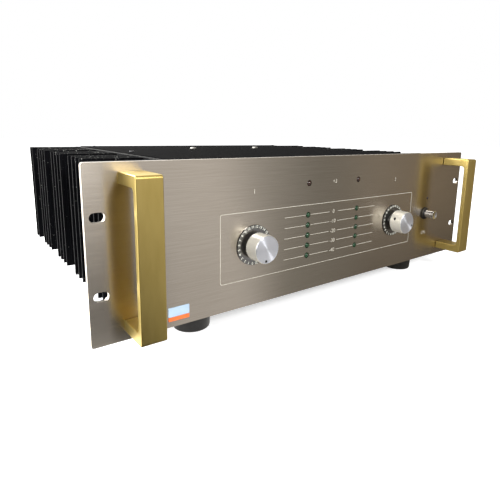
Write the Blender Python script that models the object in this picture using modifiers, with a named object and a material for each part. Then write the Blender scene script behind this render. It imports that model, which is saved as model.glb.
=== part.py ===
"""Stereo power amplifier on a 19-inch rack panel, three units high.

Metres, +Z up. The front panel faces -Y and +X is to the right of someone who
looks at it. The origin lies under the middle of the whole unit, on the surface
that its feet stand on.
"""

import math

import bmesh
import bpy
from mathutils import Matrix, Vector

MM = 0.001

# Fits between neighbouring pieces
GAP = 0.3 * MM
OVERRUN = 1.0 * MM
MERGE = 0.02 * MM

# Number of flats on round pieces, by how much of them shows
SHOWN_SIDES = 28
PLAIN_SIDES = 16
SMALL_SIDES = 10
HIDDEN_SIDES = 8
HEX_SIDES = 6
SHAFT_SIDES = 24
DISC_SIDES = 40
ARC_STEPS = 3
SLOT_STEPS = 6

# Front panel, to the rack standard
PANEL_W = 482.6 * MM
PANEL_H = 132.5 * MM
PANEL_T = 3.2 * MM
PANEL_CORNER_R = 1.6 * MM
PANEL_BEVEL = 0.4 * MM
RACK_SLOT_INSET = 8.75 * MM
RACK_PITCH_Z = 57.15 * MM
RACK_SLOT_L = 10.8 * MM
RACK_SLOT_H = 7.0 * MM

# Handles, one at each end of the panel
HANDLE_W = 19.05 * MM
HANDLE_INSET = 24.0 * MM
HANDLE_REACH = 33.0 * MM
HANDLE_BAR_T = 5.1 * MM
HANDLE_ARM_T = 8.7 * MM
HANDLE_Z = 7.8 * MM
HANDLE_DROP = 6.7 * MM
HANDLE_INNER_R = 3.6 * MM
HANDLE_OUTER_R = 2.4 * MM
HANDLE_BEVEL = 0.5 * MM
HANDLE_SCREW_R = 2.1 * MM
HANDLE_SCREW_IN = 16.0 * MM
HANDLE_SCREW_HEAD_R = 4.2 * MM
HANDLE_SCREW_HEAD_H = 3.0 * MM

# Sheets of the case
CHASSIS_D = 310.0 * MM
SUBPANEL_T = 1.5 * MM
SUBPANEL_INSET = 23.8 * MM
REAR_T = 1.5 * MM
TRAY_T = 2.0 * MM
TRAY_RISE = 2.2 * MM
TRAY_RIB_T = 1.7 * MM
TRAY_RIB_H = 30.0 * MM
COVER_T = 1.5 * MM
COVER_DROP = 2.2 * MM

# Angle bars under the cover's long edges, and the brace between them
RAIL_T = 6.0 * MM
RAIL_W = 18.0 * MM
RAIL_H = 26.0 * MM
BRACE_W = 24.0 * MM
BRACE_H = 12.0 * MM
BRACE_T = 1.5 * MM
BRACE_Y_SHARE = 0.6613
COVER_SCREW_X = 49.5 * MM
COVER_SCREW_R = 2.0 * MM
COVER_SCREW_HEAD_R = 4.0 * MM
COVER_SCREW_HEAD_H = 1.9 * MM
COVER_SCREW_L = 8.0 * MM

# Heatsinks: finned modules side by side along both flanks
MODULE_COUNT = 4
MODULE_GAP = 0.5 * MM
MODULE_CLEARANCE = 4.7 * MM
MODULE_RISE = 18.0 * MM
MODULE_DROP = 2.9 * MM
MODULE_D = 60.3 * MM
FIN_INSET = 20.0 * MM
SINK_BASE_T = 6.0 * MM
FIN_PITCH = 12.4 * MM
FIN_MARGIN = 6.0 * MM
FIN_ROOT_T = 3.0 * MM
FIN_TIP_T = 1.9 * MM

# Feet under the tray
FOOT_DROP = 15.5 * MM
FOOT_TOP_R = 17.0 * MM
FOOT_BASE_R = 16.0 * MM
FOOT_BEVEL = 1.2 * MM
FOOT_RECESS_R = 6.5 * MM
FOOT_RECESS_H = 9.0 * MM
FOOT_BORE_R = 2.4 * MM
FOOT_INSET = 11.2 * MM
FOOT_FRONT_Y = 24.0 * MM
FOOT_REAR_MARGIN = 26.0 * MM

# Level controls: attenuator, shaft, nut, scale disc and knob
CONTROL_X_SHARE = 0.4144
CONTROL_Z = 56.0 * MM
CONTROL_TRAVEL = 345.0
LEFT_SETTING = 0.0
RIGHT_SETTING = 285.0
KNOB_R = 12.5 * MM
KNOB_FRONT = 20.0 * MM
KNOB_BACK = 5.0 * MM
KNOB_BEVEL = 0.5 * MM
KNOB_BORE_END = 4.0 * MM
DOT_R = 0.8 * MM
DOT_DEPTH = 0.6 * MM
DOT_FROM_EDGE = 2.4 * MM
GRUB_HOLE_R = 1.7 * MM
GRUB_FROM_BACK = 6.0 * MM
SCALE_R = 18.6 * MM
SCALE_T = 0.8 * MM
BUSH_R = 4.7 * MM
BUSH_PROUD = 0.4 * MM
NUT_R = 6.8 * MM
NUT_T = 2.2 * MM
SHAFT_R = 3.1 * MM
SHAFT_CLEARANCE = 0.35 * MM
SHAFT_END_CLEARANCE = 0.6 * MM
ATTENUATOR_R = 12.0 * MM
ATTENUATOR_D = 16.0 * MM
ATTENUATOR_WALL = 1.8 * MM

# Level lights, in a column for each channel, each column on its own meter board
LIGHT_R = 2.5 * MM
LIGHT_PROUD = 1.5 * MM
LIGHT_DOME = 1.8 * MM
LIGHT_SHOULDER_SHARE = 0.68
LIGHT_X_SHARE = 0.1465
LEVEL_PITCH = 10.16 * MM
LEVEL_COUNT = 5
OVERLOAD_DROP = 25.4 * MM
METER_BOARD_MARGIN = 8.0 * MM
METER_BOARD_INWARD = 19.0 * MM
METER_BOARD_OUTWARD = 24.5 * MM
METER_BOARD_BACK = 8.4 * MM
METER_POST_R = 2.5 * MM
METER_POST_INSET = 5.0 * MM
METER_CHIP_W = 23.0 * MM
METER_CHIP_H = 7.0 * MM
METER_CHIP_T = 4.0 * MM
BOARD_T = 1.6 * MM

# Small light that shows the mains is on
PILOT_X_SHARE = 0.7024
PILOT_R = 1.5 * MM
PILOT_PROUD = 0.8 * MM
PILOT_FLANGE_R = 2.3 * MM
PILOT_FLANGE_T = 1.0 * MM
PILOT_TAIL = 2.5 * MM

# Mains push switch
SWITCH_X_SHARE = 0.6892
SWITCH_Z = 57.4 * MM
SWITCH_W = 18.0 * MM
SWITCH_H = 22.0 * MM
SWITCH_D = 20.0 * MM
SWITCH_BUSH_R = 6.3 * MM
SWITCH_BUSH_PROUD = 0.2 * MM
SWITCH_NUT_R = 7.6 * MM
SWITCH_NUT_T = 1.8 * MM
BUTTON_R = 5.2 * MM
BUTTON_REACH = 14.0 * MM
BUTTON_TAIL = 8.0 * MM
BUTTON_DISH = 0.7 * MM
BUTTON_RIM = 0.9 * MM
BUTTON_CLEARANCE = 0.35 * MM
BUTTON_TRAVEL = 3.5 * MM
BUTTON_STOP_ROOM = 1.0 * MM

# Mains transformer, wound on a ring and clamped by one bolt
RING_R = 60.0 * MM
RING_BORE_R = 17.0 * MM
RING_H = 65.0 * MM
RING_ROUND = 13.0 * MM
RING_BORE_ROUND = 6.0 * MM
RING_Y_SHARE = 0.316
CLAMP_R = 34.0 * MM
CLAMP_T = 2.5 * MM
RING_BOLT_R = 4.0 * MM
RING_BOLT_HEAD_R = 7.4 * MM
RING_BOLT_HEAD_H = 5.3 * MM

# Reservoir capacitors and the moulded collar round their feet
CAPACITOR_R = 31.5 * MM
CAPACITOR_HEADROOM = 19.0 * MM
CAPACITOR_X = 42.0 * MM
CAPACITOR_Y_SHARE = 0.6935
CAPACITOR_RIM = 1.5 * MM
TERMINAL_R = 4.0 * MM
TERMINAL_H = 5.0 * MM
TERMINAL_X = 12.0 * MM
COLLAR_WALL = 4.5 * MM
COLLAR_H = 24.0 * MM

# Bridge rectifier on the tray
RECTIFIER_W = 28.5 * MM
RECTIFIER_H = 11.0 * MM
RECTIFIER_CLEARANCE = 9.5 * MM
RECTIFIER_HOLE_R = 2.4 * MM

# Driver boards, with output transistors that lie against the heatsinks
DRIVER_BOARD_END = 9.0 * MM
DRIVER_BOARD_RISE = 17.5 * MM
DRIVER_BOARD_DROP = 8.5 * MM
DRIVER_BOARD_INSET = 11.0 * MM
TRANSISTORS_PER_MODULE = 2
TRANSISTOR_PITCH = 30.0 * MM
TRANSISTOR_W = 15.5 * MM
TRANSISTOR_H = 20.0 * MM
TRANSISTOR_T = 5.0 * MM
TRANSISTOR_DROP = 8.5 * MM
LEADS_W = 11.0 * MM
LEADS_H = 3.0 * MM
RELAY_W = 20.0 * MM
RELAY_H = 26.0 * MM
RELAY_T = 14.0 * MM
RELAY_SHARES = ((0.28, 0.30), (0.72, 0.30))
SMALL_CAN_R = 6.5 * MM
SMALL_CAN_H = 13.0 * MM
SMALL_CAN_SHARES = ((0.2, 0.72), (0.5, 0.72), (0.8, 0.72))

# Rear connectors
INLET_X_SHARE = 0.652
INLET_Z = 48.0 * MM
INLET_FLANGE_W = 50.0 * MM
INLET_FLANGE_H = 24.0 * MM
INLET_FLANGE_T = 2.5 * MM
INLET_BODY_W = 28.0 * MM
INLET_BODY_H = 20.5 * MM
INLET_BODY_D = 22.0 * MM
INLET_CAVITY_W = 24.6 * MM
INLET_CAVITY_H = 16.8 * MM
INLET_CAVITY_D = 17.0 * MM
INLET_PIN_W = 4.0 * MM
INLET_PIN_T = 2.0 * MM
INLET_PIN_L = 14.0 * MM
INLET_PIN_X = 7.0 * MM
INLET_PIN_DROP = 1.5 * MM
INLET_EARTH_RISE = 3.0 * MM
FUSE_Z = 88.0 * MM
FUSE_FLANGE_R = 8.5 * MM
FUSE_FLANGE_T = 2.0 * MM
FUSE_BODY_R = 7.2 * MM
FUSE_BODY_D = 30.0 * MM
FUSE_CAP_R = 5.0 * MM
FUSE_CAP_HEAD_R = 6.4 * MM
FUSE_CAP_HEAD_H = 8.0 * MM
FUSE_CAP_IN = 12.0 * MM
FUSE_SLOT_W = 1.6 * MM
FUSE_SLOT_DEPTH = 1.4 * MM
FUSE_BORE_SPARE = 1.5 * MM
INPUT_INSET = 18.0 * MM
INPUT_PITCH = 30.0 * MM
INPUT_Z = 60.0 * MM
INPUT_FLANGE_W = 26.0 * MM
INPUT_FLANGE_H = 31.0 * MM
INPUT_FLANGE_T = 1.6 * MM
INPUT_BARREL_R = 11.6 * MM
INPUT_BARREL_D = 20.0 * MM
INPUT_GROOVE_R = 10.4 * MM
INPUT_INSERT_R = 8.4 * MM
INPUT_GROOVE_D = 9.0 * MM
OUTPUT_X_SHARE = 0.199
OUTPUT_PITCH = 19.0 * MM
OUTPUT_Z = 60.0 * MM
OUTPUT_PLATE_W = 38.0 * MM
OUTPUT_PLATE_H = 19.0 * MM
OUTPUT_PLATE_T = 2.5 * MM
OUTPUT_POST_R = 6.0 * MM
OUTPUT_POST_H = 7.0 * MM
OUTPUT_BARREL_R = 4.8 * MM
OUTPUT_BARREL_D = 16.0 * MM
OUTPUT_BORE_R = 2.0 * MM
OUTPUT_BORE_D = 18.0 * MM

# Where the main faces lie, worked out from the sizes above
FUSE_REACH = GAP + FUSE_FLANGE_T + GAP + FUSE_CAP_HEAD_H
OUTPUT_REACH = GAP + OUTPUT_PLATE_T + OUTPUT_POST_H
FACE_Y = (HANDLE_REACH - CHASSIS_D - max(FUSE_REACH, OUTPUT_REACH)) / 2
PANEL_Z = FOOT_DROP
PANEL_TOP_Z = PANEL_Z + PANEL_H
SUBPANEL_Y = FACE_Y + PANEL_T + GAP
BEHIND_SUBPANEL_Y = SUBPANEL_Y + SUBPANEL_T + GAP
REAR_OUT_Y = FACE_Y + CHASSIS_D
REAR_IN_Y = REAR_OUT_Y - REAR_T
RAIL_L = REAR_IN_Y - GAP - BEHIND_SUBPANEL_Y
TRAY_Z = PANEL_Z + TRAY_RISE
FLOOR_Z = TRAY_Z + TRAY_T + GAP
COVER_Z = PANEL_TOP_Z - COVER_DROP - COVER_T
CEILING_Z = COVER_Z - GAP
FIN_TIP_X = PANEL_W / 2 - FIN_INSET
SINK_X = FIN_TIP_X - MODULE_D
SINK_FACE_X = SINK_X + SINK_BASE_T
SINK_Z = PANEL_Z + MODULE_RISE
RAIL_X = SINK_X - GAP
RAIL_UNDER_Z = CEILING_Z - RAIL_H
FOOT_X = SINK_X - FOOT_INSET
MODULE_Y = BEHIND_SUBPANEL_Y + SWITCH_D + MODULE_CLEARANCE
MODULE_H = PANEL_TOP_Z - MODULE_DROP - SINK_Z
MODULE_PITCH = (REAR_OUT_Y - MODULE_Y) / MODULE_COUNT
MODULE_W = MODULE_PITCH - MODULE_GAP
FIN_OUT_Y = MODULE_W / 2 - FIN_MARGIN
HANDLE_X = PANEL_W / 2 - HANDLE_INSET - HANDLE_W / 2
HANDLE_H = PANEL_H - HANDLE_Z - HANDLE_DROP
HANDLE_SCREW_ZS = (
    PANEL_Z + HANDLE_Z + HANDLE_ARM_T / 2,
    PANEL_Z + HANDLE_Z + HANDLE_H - HANDLE_ARM_T / 2,
)
CONTROL_X = PANEL_W / 2 * CONTROL_X_SHARE
CONTROL_POS_Z = PANEL_Z + CONTROL_Z
LIGHT_X = PANEL_W / 2 * LIGHT_X_SHARE
PILOT_X = PANEL_W / 2 * PILOT_X_SHARE
SWITCH_X = PANEL_W / 2 * SWITCH_X_SHARE
METER_BOARD_Y = FACE_Y + METER_BOARD_BACK
RING_Y = FACE_Y + CHASSIS_D * RING_Y_SHARE
CAPACITOR_Y = FACE_Y + CHASSIS_D * CAPACITOR_Y_SHARE
CAPACITOR_H = CEILING_Z - CAPACITOR_HEADROOM - FLOOR_Z
COLLAR_REACH = CAPACITOR_R + GAP + COLLAR_WALL
RECTIFIER_Y = CAPACITOR_Y + COLLAR_REACH + RECTIFIER_CLEARANCE + RECTIFIER_W / 2
BRACE_Y = FACE_Y + CHASSIS_D * BRACE_Y_SHARE
BOARD_X = SINK_X - DRIVER_BOARD_INSET
BOARD_Y = MODULE_Y + DRIVER_BOARD_END
BOARD_Z = FLOOR_Z + DRIVER_BOARD_RISE
BOARD_L = REAR_OUT_Y - DRIVER_BOARD_END - BOARD_Y
BOARD_H = CEILING_Z - RAIL_T - DRIVER_BOARD_DROP - BOARD_Z
TRANSISTOR_Z = RAIL_UNDER_Z - TRANSISTOR_DROP - TRANSISTOR_H / 2
INLET_X = SINK_X * INLET_X_SHARE
INPUT_X = BOARD_X - INPUT_INSET - INPUT_PITCH / 2
OUTPUT_X = SINK_X * OUTPUT_X_SHARE

# The way that a turned piece's own top faces
TOWARDS = {
    "up": Matrix.Identity(4),
    "down": Matrix.Rotation(math.pi, 4, "X"),
    "front": Matrix.Rotation(math.pi / 2, 4, "X"),
    "back": Matrix.Rotation(-math.pi / 2, 4, "X"),
    "right": Matrix.Rotation(math.pi / 2, 4, "Y"),
    "left": Matrix.Rotation(-math.pi / 2, 4, "Y"),
}

# An outline drawn in depth and height, extruded across the unit
ACROSS = Matrix(((0, 0, 1, 0), (1, 0, 0, 0), (0, 1, 0, 0), (0, 0, 0, 1)))

SIDES_OF_UNIT = (("left", -1), ("right", 1))
INWARDS = {"left": "right", "right": "left"}


def clear_scene():
    """Empty the file of objects, so that the script can be run again."""
    for old in list(bpy.data.objects):
        bpy.data.objects.remove(old, do_unlink=True)


def new_collection(name):
    collection = bpy.data.collections.new(name)
    bpy.context.scene.collection.children.link(collection)
    return collection


clear_scene()
PARTS = new_collection("power_amplifier")
CUTTERS = new_collection("cutters")


def paint(piece, colour, roughness, metallic):
    """Give a piece its own plain material."""
    material = bpy.data.materials.new(piece.name)
    material.use_nodes = True
    shader = material.node_tree.nodes["Principled BSDF"]
    shader.inputs["Base Color"].default_value = (*colour, 1.0)
    shader.inputs["Roughness"].default_value = roughness
    shader.inputs["Metallic"].default_value = metallic
    piece.data.materials.clear()
    piece.data.materials.append(material)


def satin_aluminium(piece):
    paint(piece, (0.60, 0.56, 0.50), 0.35, 1.0)


def bright_metal(piece):
    paint(piece, (0.80, 0.80, 0.80), 0.18, 1.0)


def plated_steel(piece):
    paint(piece, (0.55, 0.55, 0.53), 0.40, 1.0)


def gold_anodised(piece):
    paint(piece, (0.62, 0.45, 0.14), 0.32, 1.0)


def black_anodised(piece):
    paint(piece, (0.012, 0.012, 0.014), 0.45, 0.6)


def black_paint(piece):
    paint(piece, (0.015, 0.015, 0.016), 0.5, 0.0)


def black_plastic(piece):
    paint(piece, (0.02, 0.02, 0.02), 0.45, 0.0)


def black_rubber(piece):
    paint(piece, (0.015, 0.015, 0.015), 0.6, 0.0)


def circuit_board(piece):
    paint(piece, (0.08, 0.20, 0.07), 0.5, 0.0)


def axis_place(x, y, z, direction):
    """Where a turned piece goes, and which way its top faces."""
    return Matrix.Translation((x, y, z)) @ TOWARDS[direction]


def clear_radius(radius, sides, clearance=GAP):
    """Radius of a flat-sided hole that leaves a clearance round a round rod."""
    return (radius + clearance) / math.cos(math.pi / sides)


def evaluated_mesh(guide):
    """Turn a guide with its modifiers into a welded mesh, and remove the guide."""
    bpy.context.view_layer.update()
    graph = bpy.context.evaluated_depsgraph_get()
    mesh = bpy.data.meshes.new_from_object(guide.evaluated_get(graph))
    mesh.transform(guide.matrix_world)
    bpy.data.objects.remove(guide, do_unlink=True)
    shape = bmesh.new()
    shape.from_mesh(mesh)
    bmesh.ops.remove_doubles(shape, verts=shape.verts, dist=MERGE)
    bmesh.ops.recalc_face_normals(shape, faces=shape.faces)
    shape.to_mesh(mesh)
    shape.free()
    return mesh


def turned(profile, sides, closed=False):
    """Mesh of an (r, z) profile, listed from top to bottom, turned about Z."""
    mesh = bpy.data.meshes.new("profile")
    shape = bmesh.new()
    points = [shape.verts.new((radius, 0, height)) for radius, height in profile]
    for first, second in zip(points, points[1:]):
        shape.edges.new((first, second))
    if closed:
        shape.edges.new((points[-1], points[0]))
    shape.to_mesh(mesh)
    shape.free()
    guide = bpy.data.objects.new("profile", mesh)
    CUTTERS.objects.link(guide)
    screw = guide.modifiers.new("Turn", "SCREW")
    screw.axis = "Z"
    screw.steps = sides
    screw.render_steps = sides
    screw.use_merge_vertices = True
    screw.merge_threshold = MERGE
    return evaluated_mesh(guide)


def tube_profile(inner, outer, top, bottom):
    """Square section of a ring or tube."""
    return ((inner, top), (outer, top), (outer, bottom), (inner, bottom))


def rod_profile(radius, top, bottom):
    return ((0, top), (radius, top), (radius, bottom), (0, bottom))


def screw_profile(head_r, head_h, shank_r, shank_l):
    """Screw with its head above zero and its shank below."""
    return (
        (0, head_h),
        (head_r, head_h),
        (head_r, 0),
        (shank_r, 0),
        (shank_r, -shank_l),
        (0, -shank_l),
    )


def extruded(outline, depth):
    """Mesh of a closed outline in XY, extruded evenly both ways along Z."""
    curve = bpy.data.curves.new("outline", "CURVE")
    curve.dimensions = "2D"
    curve.fill_mode = "BOTH"
    curve.extrude = depth / 2
    spline = curve.splines.new("POLY")
    spline.points.add(len(outline) - 1)
    for point, (across, along) in zip(spline.points, outline):
        point.co = (across, along, 0, 1)
    spline.use_cyclic_u = True
    guide = bpy.data.objects.new("outline", curve)
    CUTTERS.objects.link(guide)
    return evaluated_mesh(guide)


def rounded(corners, radii):
    """Outline with an arc of its own radius at each corner."""
    points = []
    for index, radius in enumerate(radii):
        corner = Vector(corners[index])
        if radius == 0:
            points.append(tuple(corner))
            continue
        to_last = (Vector(corners[index - 1]) - corner).normalized()
        to_next = (Vector(corners[(index + 1) % len(corners)]) - corner).normalized()
        half = to_last.angle(to_next) / 2
        centre = corner + (to_last + to_next).normalized() * (radius / math.sin(half))
        first = corner + to_last * (radius / math.tan(half)) - centre
        last = corner + to_next * (radius / math.tan(half)) - centre
        sweep = first.angle(last)
        for step in range(ARC_STEPS + 1):
            share = step / ARC_STEPS
            arm = first * math.sin((1 - share) * sweep) + last * math.sin(share * sweep)
            points.append(tuple(centre + arm / math.sin(sweep)))
    return points


def round_ended(length, height):
    """Outline of a slot with half-round ends."""
    radius = height / 2
    reach = length / 2 - radius
    points = []
    for end in (1, -1):
        for step in range(SLOT_STEPS + 1):
            angle = math.pi * (step / SLOT_STEPS - 1 / 2)
            across = reach + radius * math.cos(angle)
            points.append((end * across, end * radius * math.sin(angle)))
    return points


def solid(name, mesh, place=TOWARDS["up"], origin=TOWARDS["up"]):
    """An object from one mesh, put in its place and given its own origin."""
    mesh = mesh.copy()
    mesh.name = name
    mesh.transform(place)
    mesh.shade_smooth()
    mesh.set_sharp_from_angle(angle=math.radians(35))
    piece = bpy.data.objects.new(name, mesh)
    PARTS.objects.link(piece)
    piece.matrix_world = origin
    return piece


def add_mesh(shape, mesh, place):
    """Add a mesh, put in its place, to a shape."""
    copy = mesh.copy()
    copy.transform(place)
    shape.from_mesh(copy)
    bpy.data.meshes.remove(copy)


def add_block(shape, low, high):
    """Add a box between two opposite corners to a shape."""
    size = Vector(high) - Vector(low)
    middle = (Vector(high) + Vector(low)) / 2
    place = Matrix.Translation(middle) @ Matrix.Diagonal((*size, 1))
    bmesh.ops.create_cube(shape, size=1, matrix=place)


def add_drill(shape, place, radius, depth, sides):
    """Add a drill to a shape: it enters at a place, against its direction."""
    length = depth + OVERRUN
    middle = Matrix.Translation((0, 0, OVERRUN - length / 2))
    bmesh.ops.create_cone(
        shape,
        cap_ends=True,
        segments=sides,
        radius1=radius,
        radius2=radius,
        depth=length,
        matrix=place @ middle,
    )


def block(name, low, high):
    """A box as a piece of its own."""
    shape = bmesh.new()
    add_block(shape, low, high)
    mesh = bpy.data.meshes.new(name)
    shape.to_mesh(mesh)
    shape.free()
    piece = bpy.data.objects.new(name, mesh)
    PARTS.objects.link(piece)
    return piece


def combine(piece, shape, operation, origin=TOWARDS["up"]):
    """Cut a shape from a piece, or join it on, with a Boolean that stays live."""
    name = f"{piece.name}_{operation.lower()}_{len(piece.modifiers)}"
    mesh = bpy.data.meshes.new(name)
    shape.to_mesh(mesh)
    shape.free()
    helper = bpy.data.objects.new(name, mesh)
    helper.hide_render = True
    helper.display_type = "WIRE"
    CUTTERS.objects.link(helper)
    helper.matrix_world = origin
    change = piece.modifiers.new(operation.title(), "BOOLEAN")
    change.operation = operation
    change.solver = "EXACT"
    change.object = helper


def bevel_edges(piece, width):
    """Break the square edges of an extruded piece."""
    bevel = piece.modifiers.new("Edge", "BEVEL")
    bevel.width = width
    bevel.segments = 1
    bevel.limit_method = "ANGLE"
    bevel.angle_limit = math.radians(60)


def module_centre(index):
    """Middle of a heatsink module, along the unit."""
    return MODULE_Y + MODULE_PITCH * (index + 1 / 2)


def level_zs():
    """Heights of one channel's lights: the overload light, then the levels down."""
    top_z = CONTROL_POS_Z + LEVEL_PITCH * (LEVEL_COUNT - 1) / 2
    levels = [top_z - LEVEL_PITCH * row for row in range(LEVEL_COUNT)]
    return [PANEL_TOP_Z - OVERLOAD_DROP] + levels


def drill_front(shape, y, sheet_t):
    """Add the holes that go through both the front panel and the sheet behind it."""
    through = sheet_t + OVERRUN
    for _, side in SIDES_OF_UNIT:
        for z in level_zs():
            light = axis_place(side * LIGHT_X, y, z, "front")
            add_drill(shape, light, clear_radius(LIGHT_R, SMALL_SIDES), through, SMALL_SIDES)
        control = axis_place(side * CONTROL_X, y, CONTROL_POS_Z, "front")
        add_drill(shape, control, clear_radius(BUSH_R, PLAIN_SIDES), through, PLAIN_SIDES)
        for z in HANDLE_SCREW_ZS:
            handle = axis_place(side * HANDLE_X, y, z, "front")
            radius = clear_radius(HANDLE_SCREW_R, HIDDEN_SIDES)
            add_drill(shape, handle, radius, through, HIDDEN_SIDES)
    pilot = axis_place(PILOT_X, y, level_zs()[1], "front")
    add_drill(shape, pilot, clear_radius(PILOT_R, SMALL_SIDES), through, SMALL_SIDES)
    switch = axis_place(SWITCH_X, y, PANEL_Z + SWITCH_Z, "front")
    add_drill(shape, switch, clear_radius(SWITCH_BUSH_R, PLAIN_SIDES), through, PLAIN_SIDES)


def make_front_panel():
    half = PANEL_W / 2
    corners = ((-half, 0), (half, 0), (half, PANEL_H), (-half, PANEL_H))
    outline = rounded(corners, (PANEL_CORNER_R,) * len(corners))
    place = axis_place(0, FACE_Y + PANEL_T / 2, PANEL_Z, "front")
    panel = solid("front_panel", extruded(outline, PANEL_T), place)
    bevel_edges(panel, PANEL_BEVEL)

    holes = bmesh.new()
    slot = extruded(round_ended(RACK_SLOT_L, RACK_SLOT_H), PANEL_T + 2 * OVERRUN)
    for _, side in SIDES_OF_UNIT:
        x = side * (PANEL_W / 2 - RACK_SLOT_INSET)
        for end in (-1, 1):
            z = PANEL_Z + (PANEL_H + end * RACK_PITCH_Z) / 2
            add_mesh(holes, slot, axis_place(x, FACE_Y + PANEL_T / 2, z, "front"))
    drill_front(holes, FACE_Y, PANEL_T)
    combine(panel, holes, "DIFFERENCE")
    satin_aluminium(panel)


def make_subpanel():
    """Steel sheet behind the panel, which carries the controls with it."""
    half = PANEL_W / 2 - SUBPANEL_INSET
    low = (-half, SUBPANEL_Y, FLOOR_Z)
    high = (half, SUBPANEL_Y + SUBPANEL_T, CEILING_Z)
    sheet = block("subpanel", low, high)
    holes = bmesh.new()
    drill_front(holes, SUBPANEL_Y, SUBPANEL_T)
    combine(sheet, holes, "DIFFERENCE")
    plated_steel(sheet)


def make_handles():
    """Two bars, bent square at each end and screwed on from behind the panel."""
    front = -HANDLE_REACH
    back = -GAP
    top = HANDLE_H
    inner_front = front + HANDLE_BAR_T
    corners = (
        (back, 0),
        (front, 0),
        (front, top),
        (back, top),
        (back, top - HANDLE_ARM_T),
        (inner_front, top - HANDLE_ARM_T),
        (inner_front, HANDLE_ARM_T),
        (back, HANDLE_ARM_T),
    )
    outer = HANDLE_OUTER_R
    inner = HANDLE_INNER_R
    radii = (0, outer, outer, 0, 0, inner, inner, 0)
    bar = extruded(rounded(corners, radii), HANDLE_W)
    shank = HANDLE_SCREW_IN + PANEL_T + SUBPANEL_T + 2 * GAP
    profile = screw_profile(HANDLE_SCREW_HEAD_R, HANDLE_SCREW_HEAD_H, HANDLE_SCREW_R, shank)
    screw = turned(profile, HIDDEN_SIDES)
    for word, side in SIDES_OF_UNIT:
        x = side * HANDLE_X
        place = Matrix.Translation((x, FACE_Y, PANEL_Z + HANDLE_Z)) @ ACROSS
        handle = solid("handle_" + word, bar, place)
        bevel_edges(handle, HANDLE_BEVEL)
        holes = bmesh.new()
        for level, z in zip(("lower", "upper"), HANDLE_SCREW_ZS):
            radius = clear_radius(HANDLE_SCREW_R, HIDDEN_SIDES)
            mouth = axis_place(x, FACE_Y - GAP, z, "back")
            add_drill(holes, mouth, radius, HANDLE_SCREW_IN + GAP, HIDDEN_SIDES)
            seat = axis_place(x, BEHIND_SUBPANEL_Y, z, "back")
            plated_steel(solid(f"handle_screw_{word}_{level}", screw, seat))
        combine(handle, holes, "DIFFERENCE")
        gold_anodised(handle)


def make_tray():
    """Base plate, with an upright rib along each side that the heatsinks lie against."""
    low = (-SINK_FACE_X, BEHIND_SUBPANEL_Y, TRAY_Z)
    tray = block("chassis_tray", low, (SINK_FACE_X, REAR_OUT_Y, TRAY_Z + TRAY_T))
    ribs = bmesh.new()
    for _, side in SIDES_OF_UNIT:
        xs = sorted((side * RAIL_X, side * (RAIL_X - TRAY_RIB_T)))
        low = (xs[0], BEHIND_SUBPANEL_Y + GAP, TRAY_Z + TRAY_T / 2)
        high = (xs[1], BEHIND_SUBPANEL_Y + RAIL_L, TRAY_Z + TRAY_T + TRAY_RIB_H)
        add_block(ribs, low, high)
    combine(tray, ribs, "UNION")
    holes = bmesh.new()
    under = axis_place(0, RING_Y, TRAY_Z, "down")
    radius = clear_radius(RING_BOLT_R, HIDDEN_SIDES)
    add_drill(holes, under, radius, TRAY_T + OVERRUN, HIDDEN_SIDES)
    combine(tray, holes, "DIFFERENCE")
    black_paint(tray)


def make_rear_panel():
    half = RAIL_X - TRAY_RIB_T - GAP
    low = (-half, REAR_IN_Y, FLOOR_Z)
    sheet = block("rear_panel", low, (half, REAR_OUT_Y, CEILING_Z))
    holes = bmesh.new()
    through = REAR_T + OVERRUN
    half_w = INLET_BODY_W / 2 + GAP
    half_h = INLET_BODY_H / 2 + GAP
    inlet_z = PANEL_Z + INLET_Z
    add_block(
        holes,
        (INLET_X - half_w, REAR_IN_Y - OVERRUN, inlet_z - half_h),
        (INLET_X + half_w, REAR_OUT_Y + OVERRUN, inlet_z + half_h),
    )
    fuse = axis_place(INLET_X, REAR_OUT_Y, PANEL_Z + FUSE_Z, "back")
    add_drill(holes, fuse, clear_radius(FUSE_BODY_R, PLAIN_SIDES), through, PLAIN_SIDES)
    for _, side in SIDES_OF_UNIT:
        socket = axis_place(input_x(side), REAR_OUT_Y, PANEL_Z + INPUT_Z, "back")
        radius = clear_radius(INPUT_BARREL_R, PLAIN_SIDES)
        add_drill(holes, socket, radius, through, PLAIN_SIDES)
        for x in output_post_xs(side):
            post = axis_place(x, REAR_OUT_Y, PANEL_Z + OUTPUT_Z, "back")
            radius = clear_radius(OUTPUT_BARREL_R, SMALL_SIDES)
            add_drill(holes, post, radius, through, SMALL_SIDES)
    combine(sheet, holes, "DIFFERENCE")
    black_paint(sheet)


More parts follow.
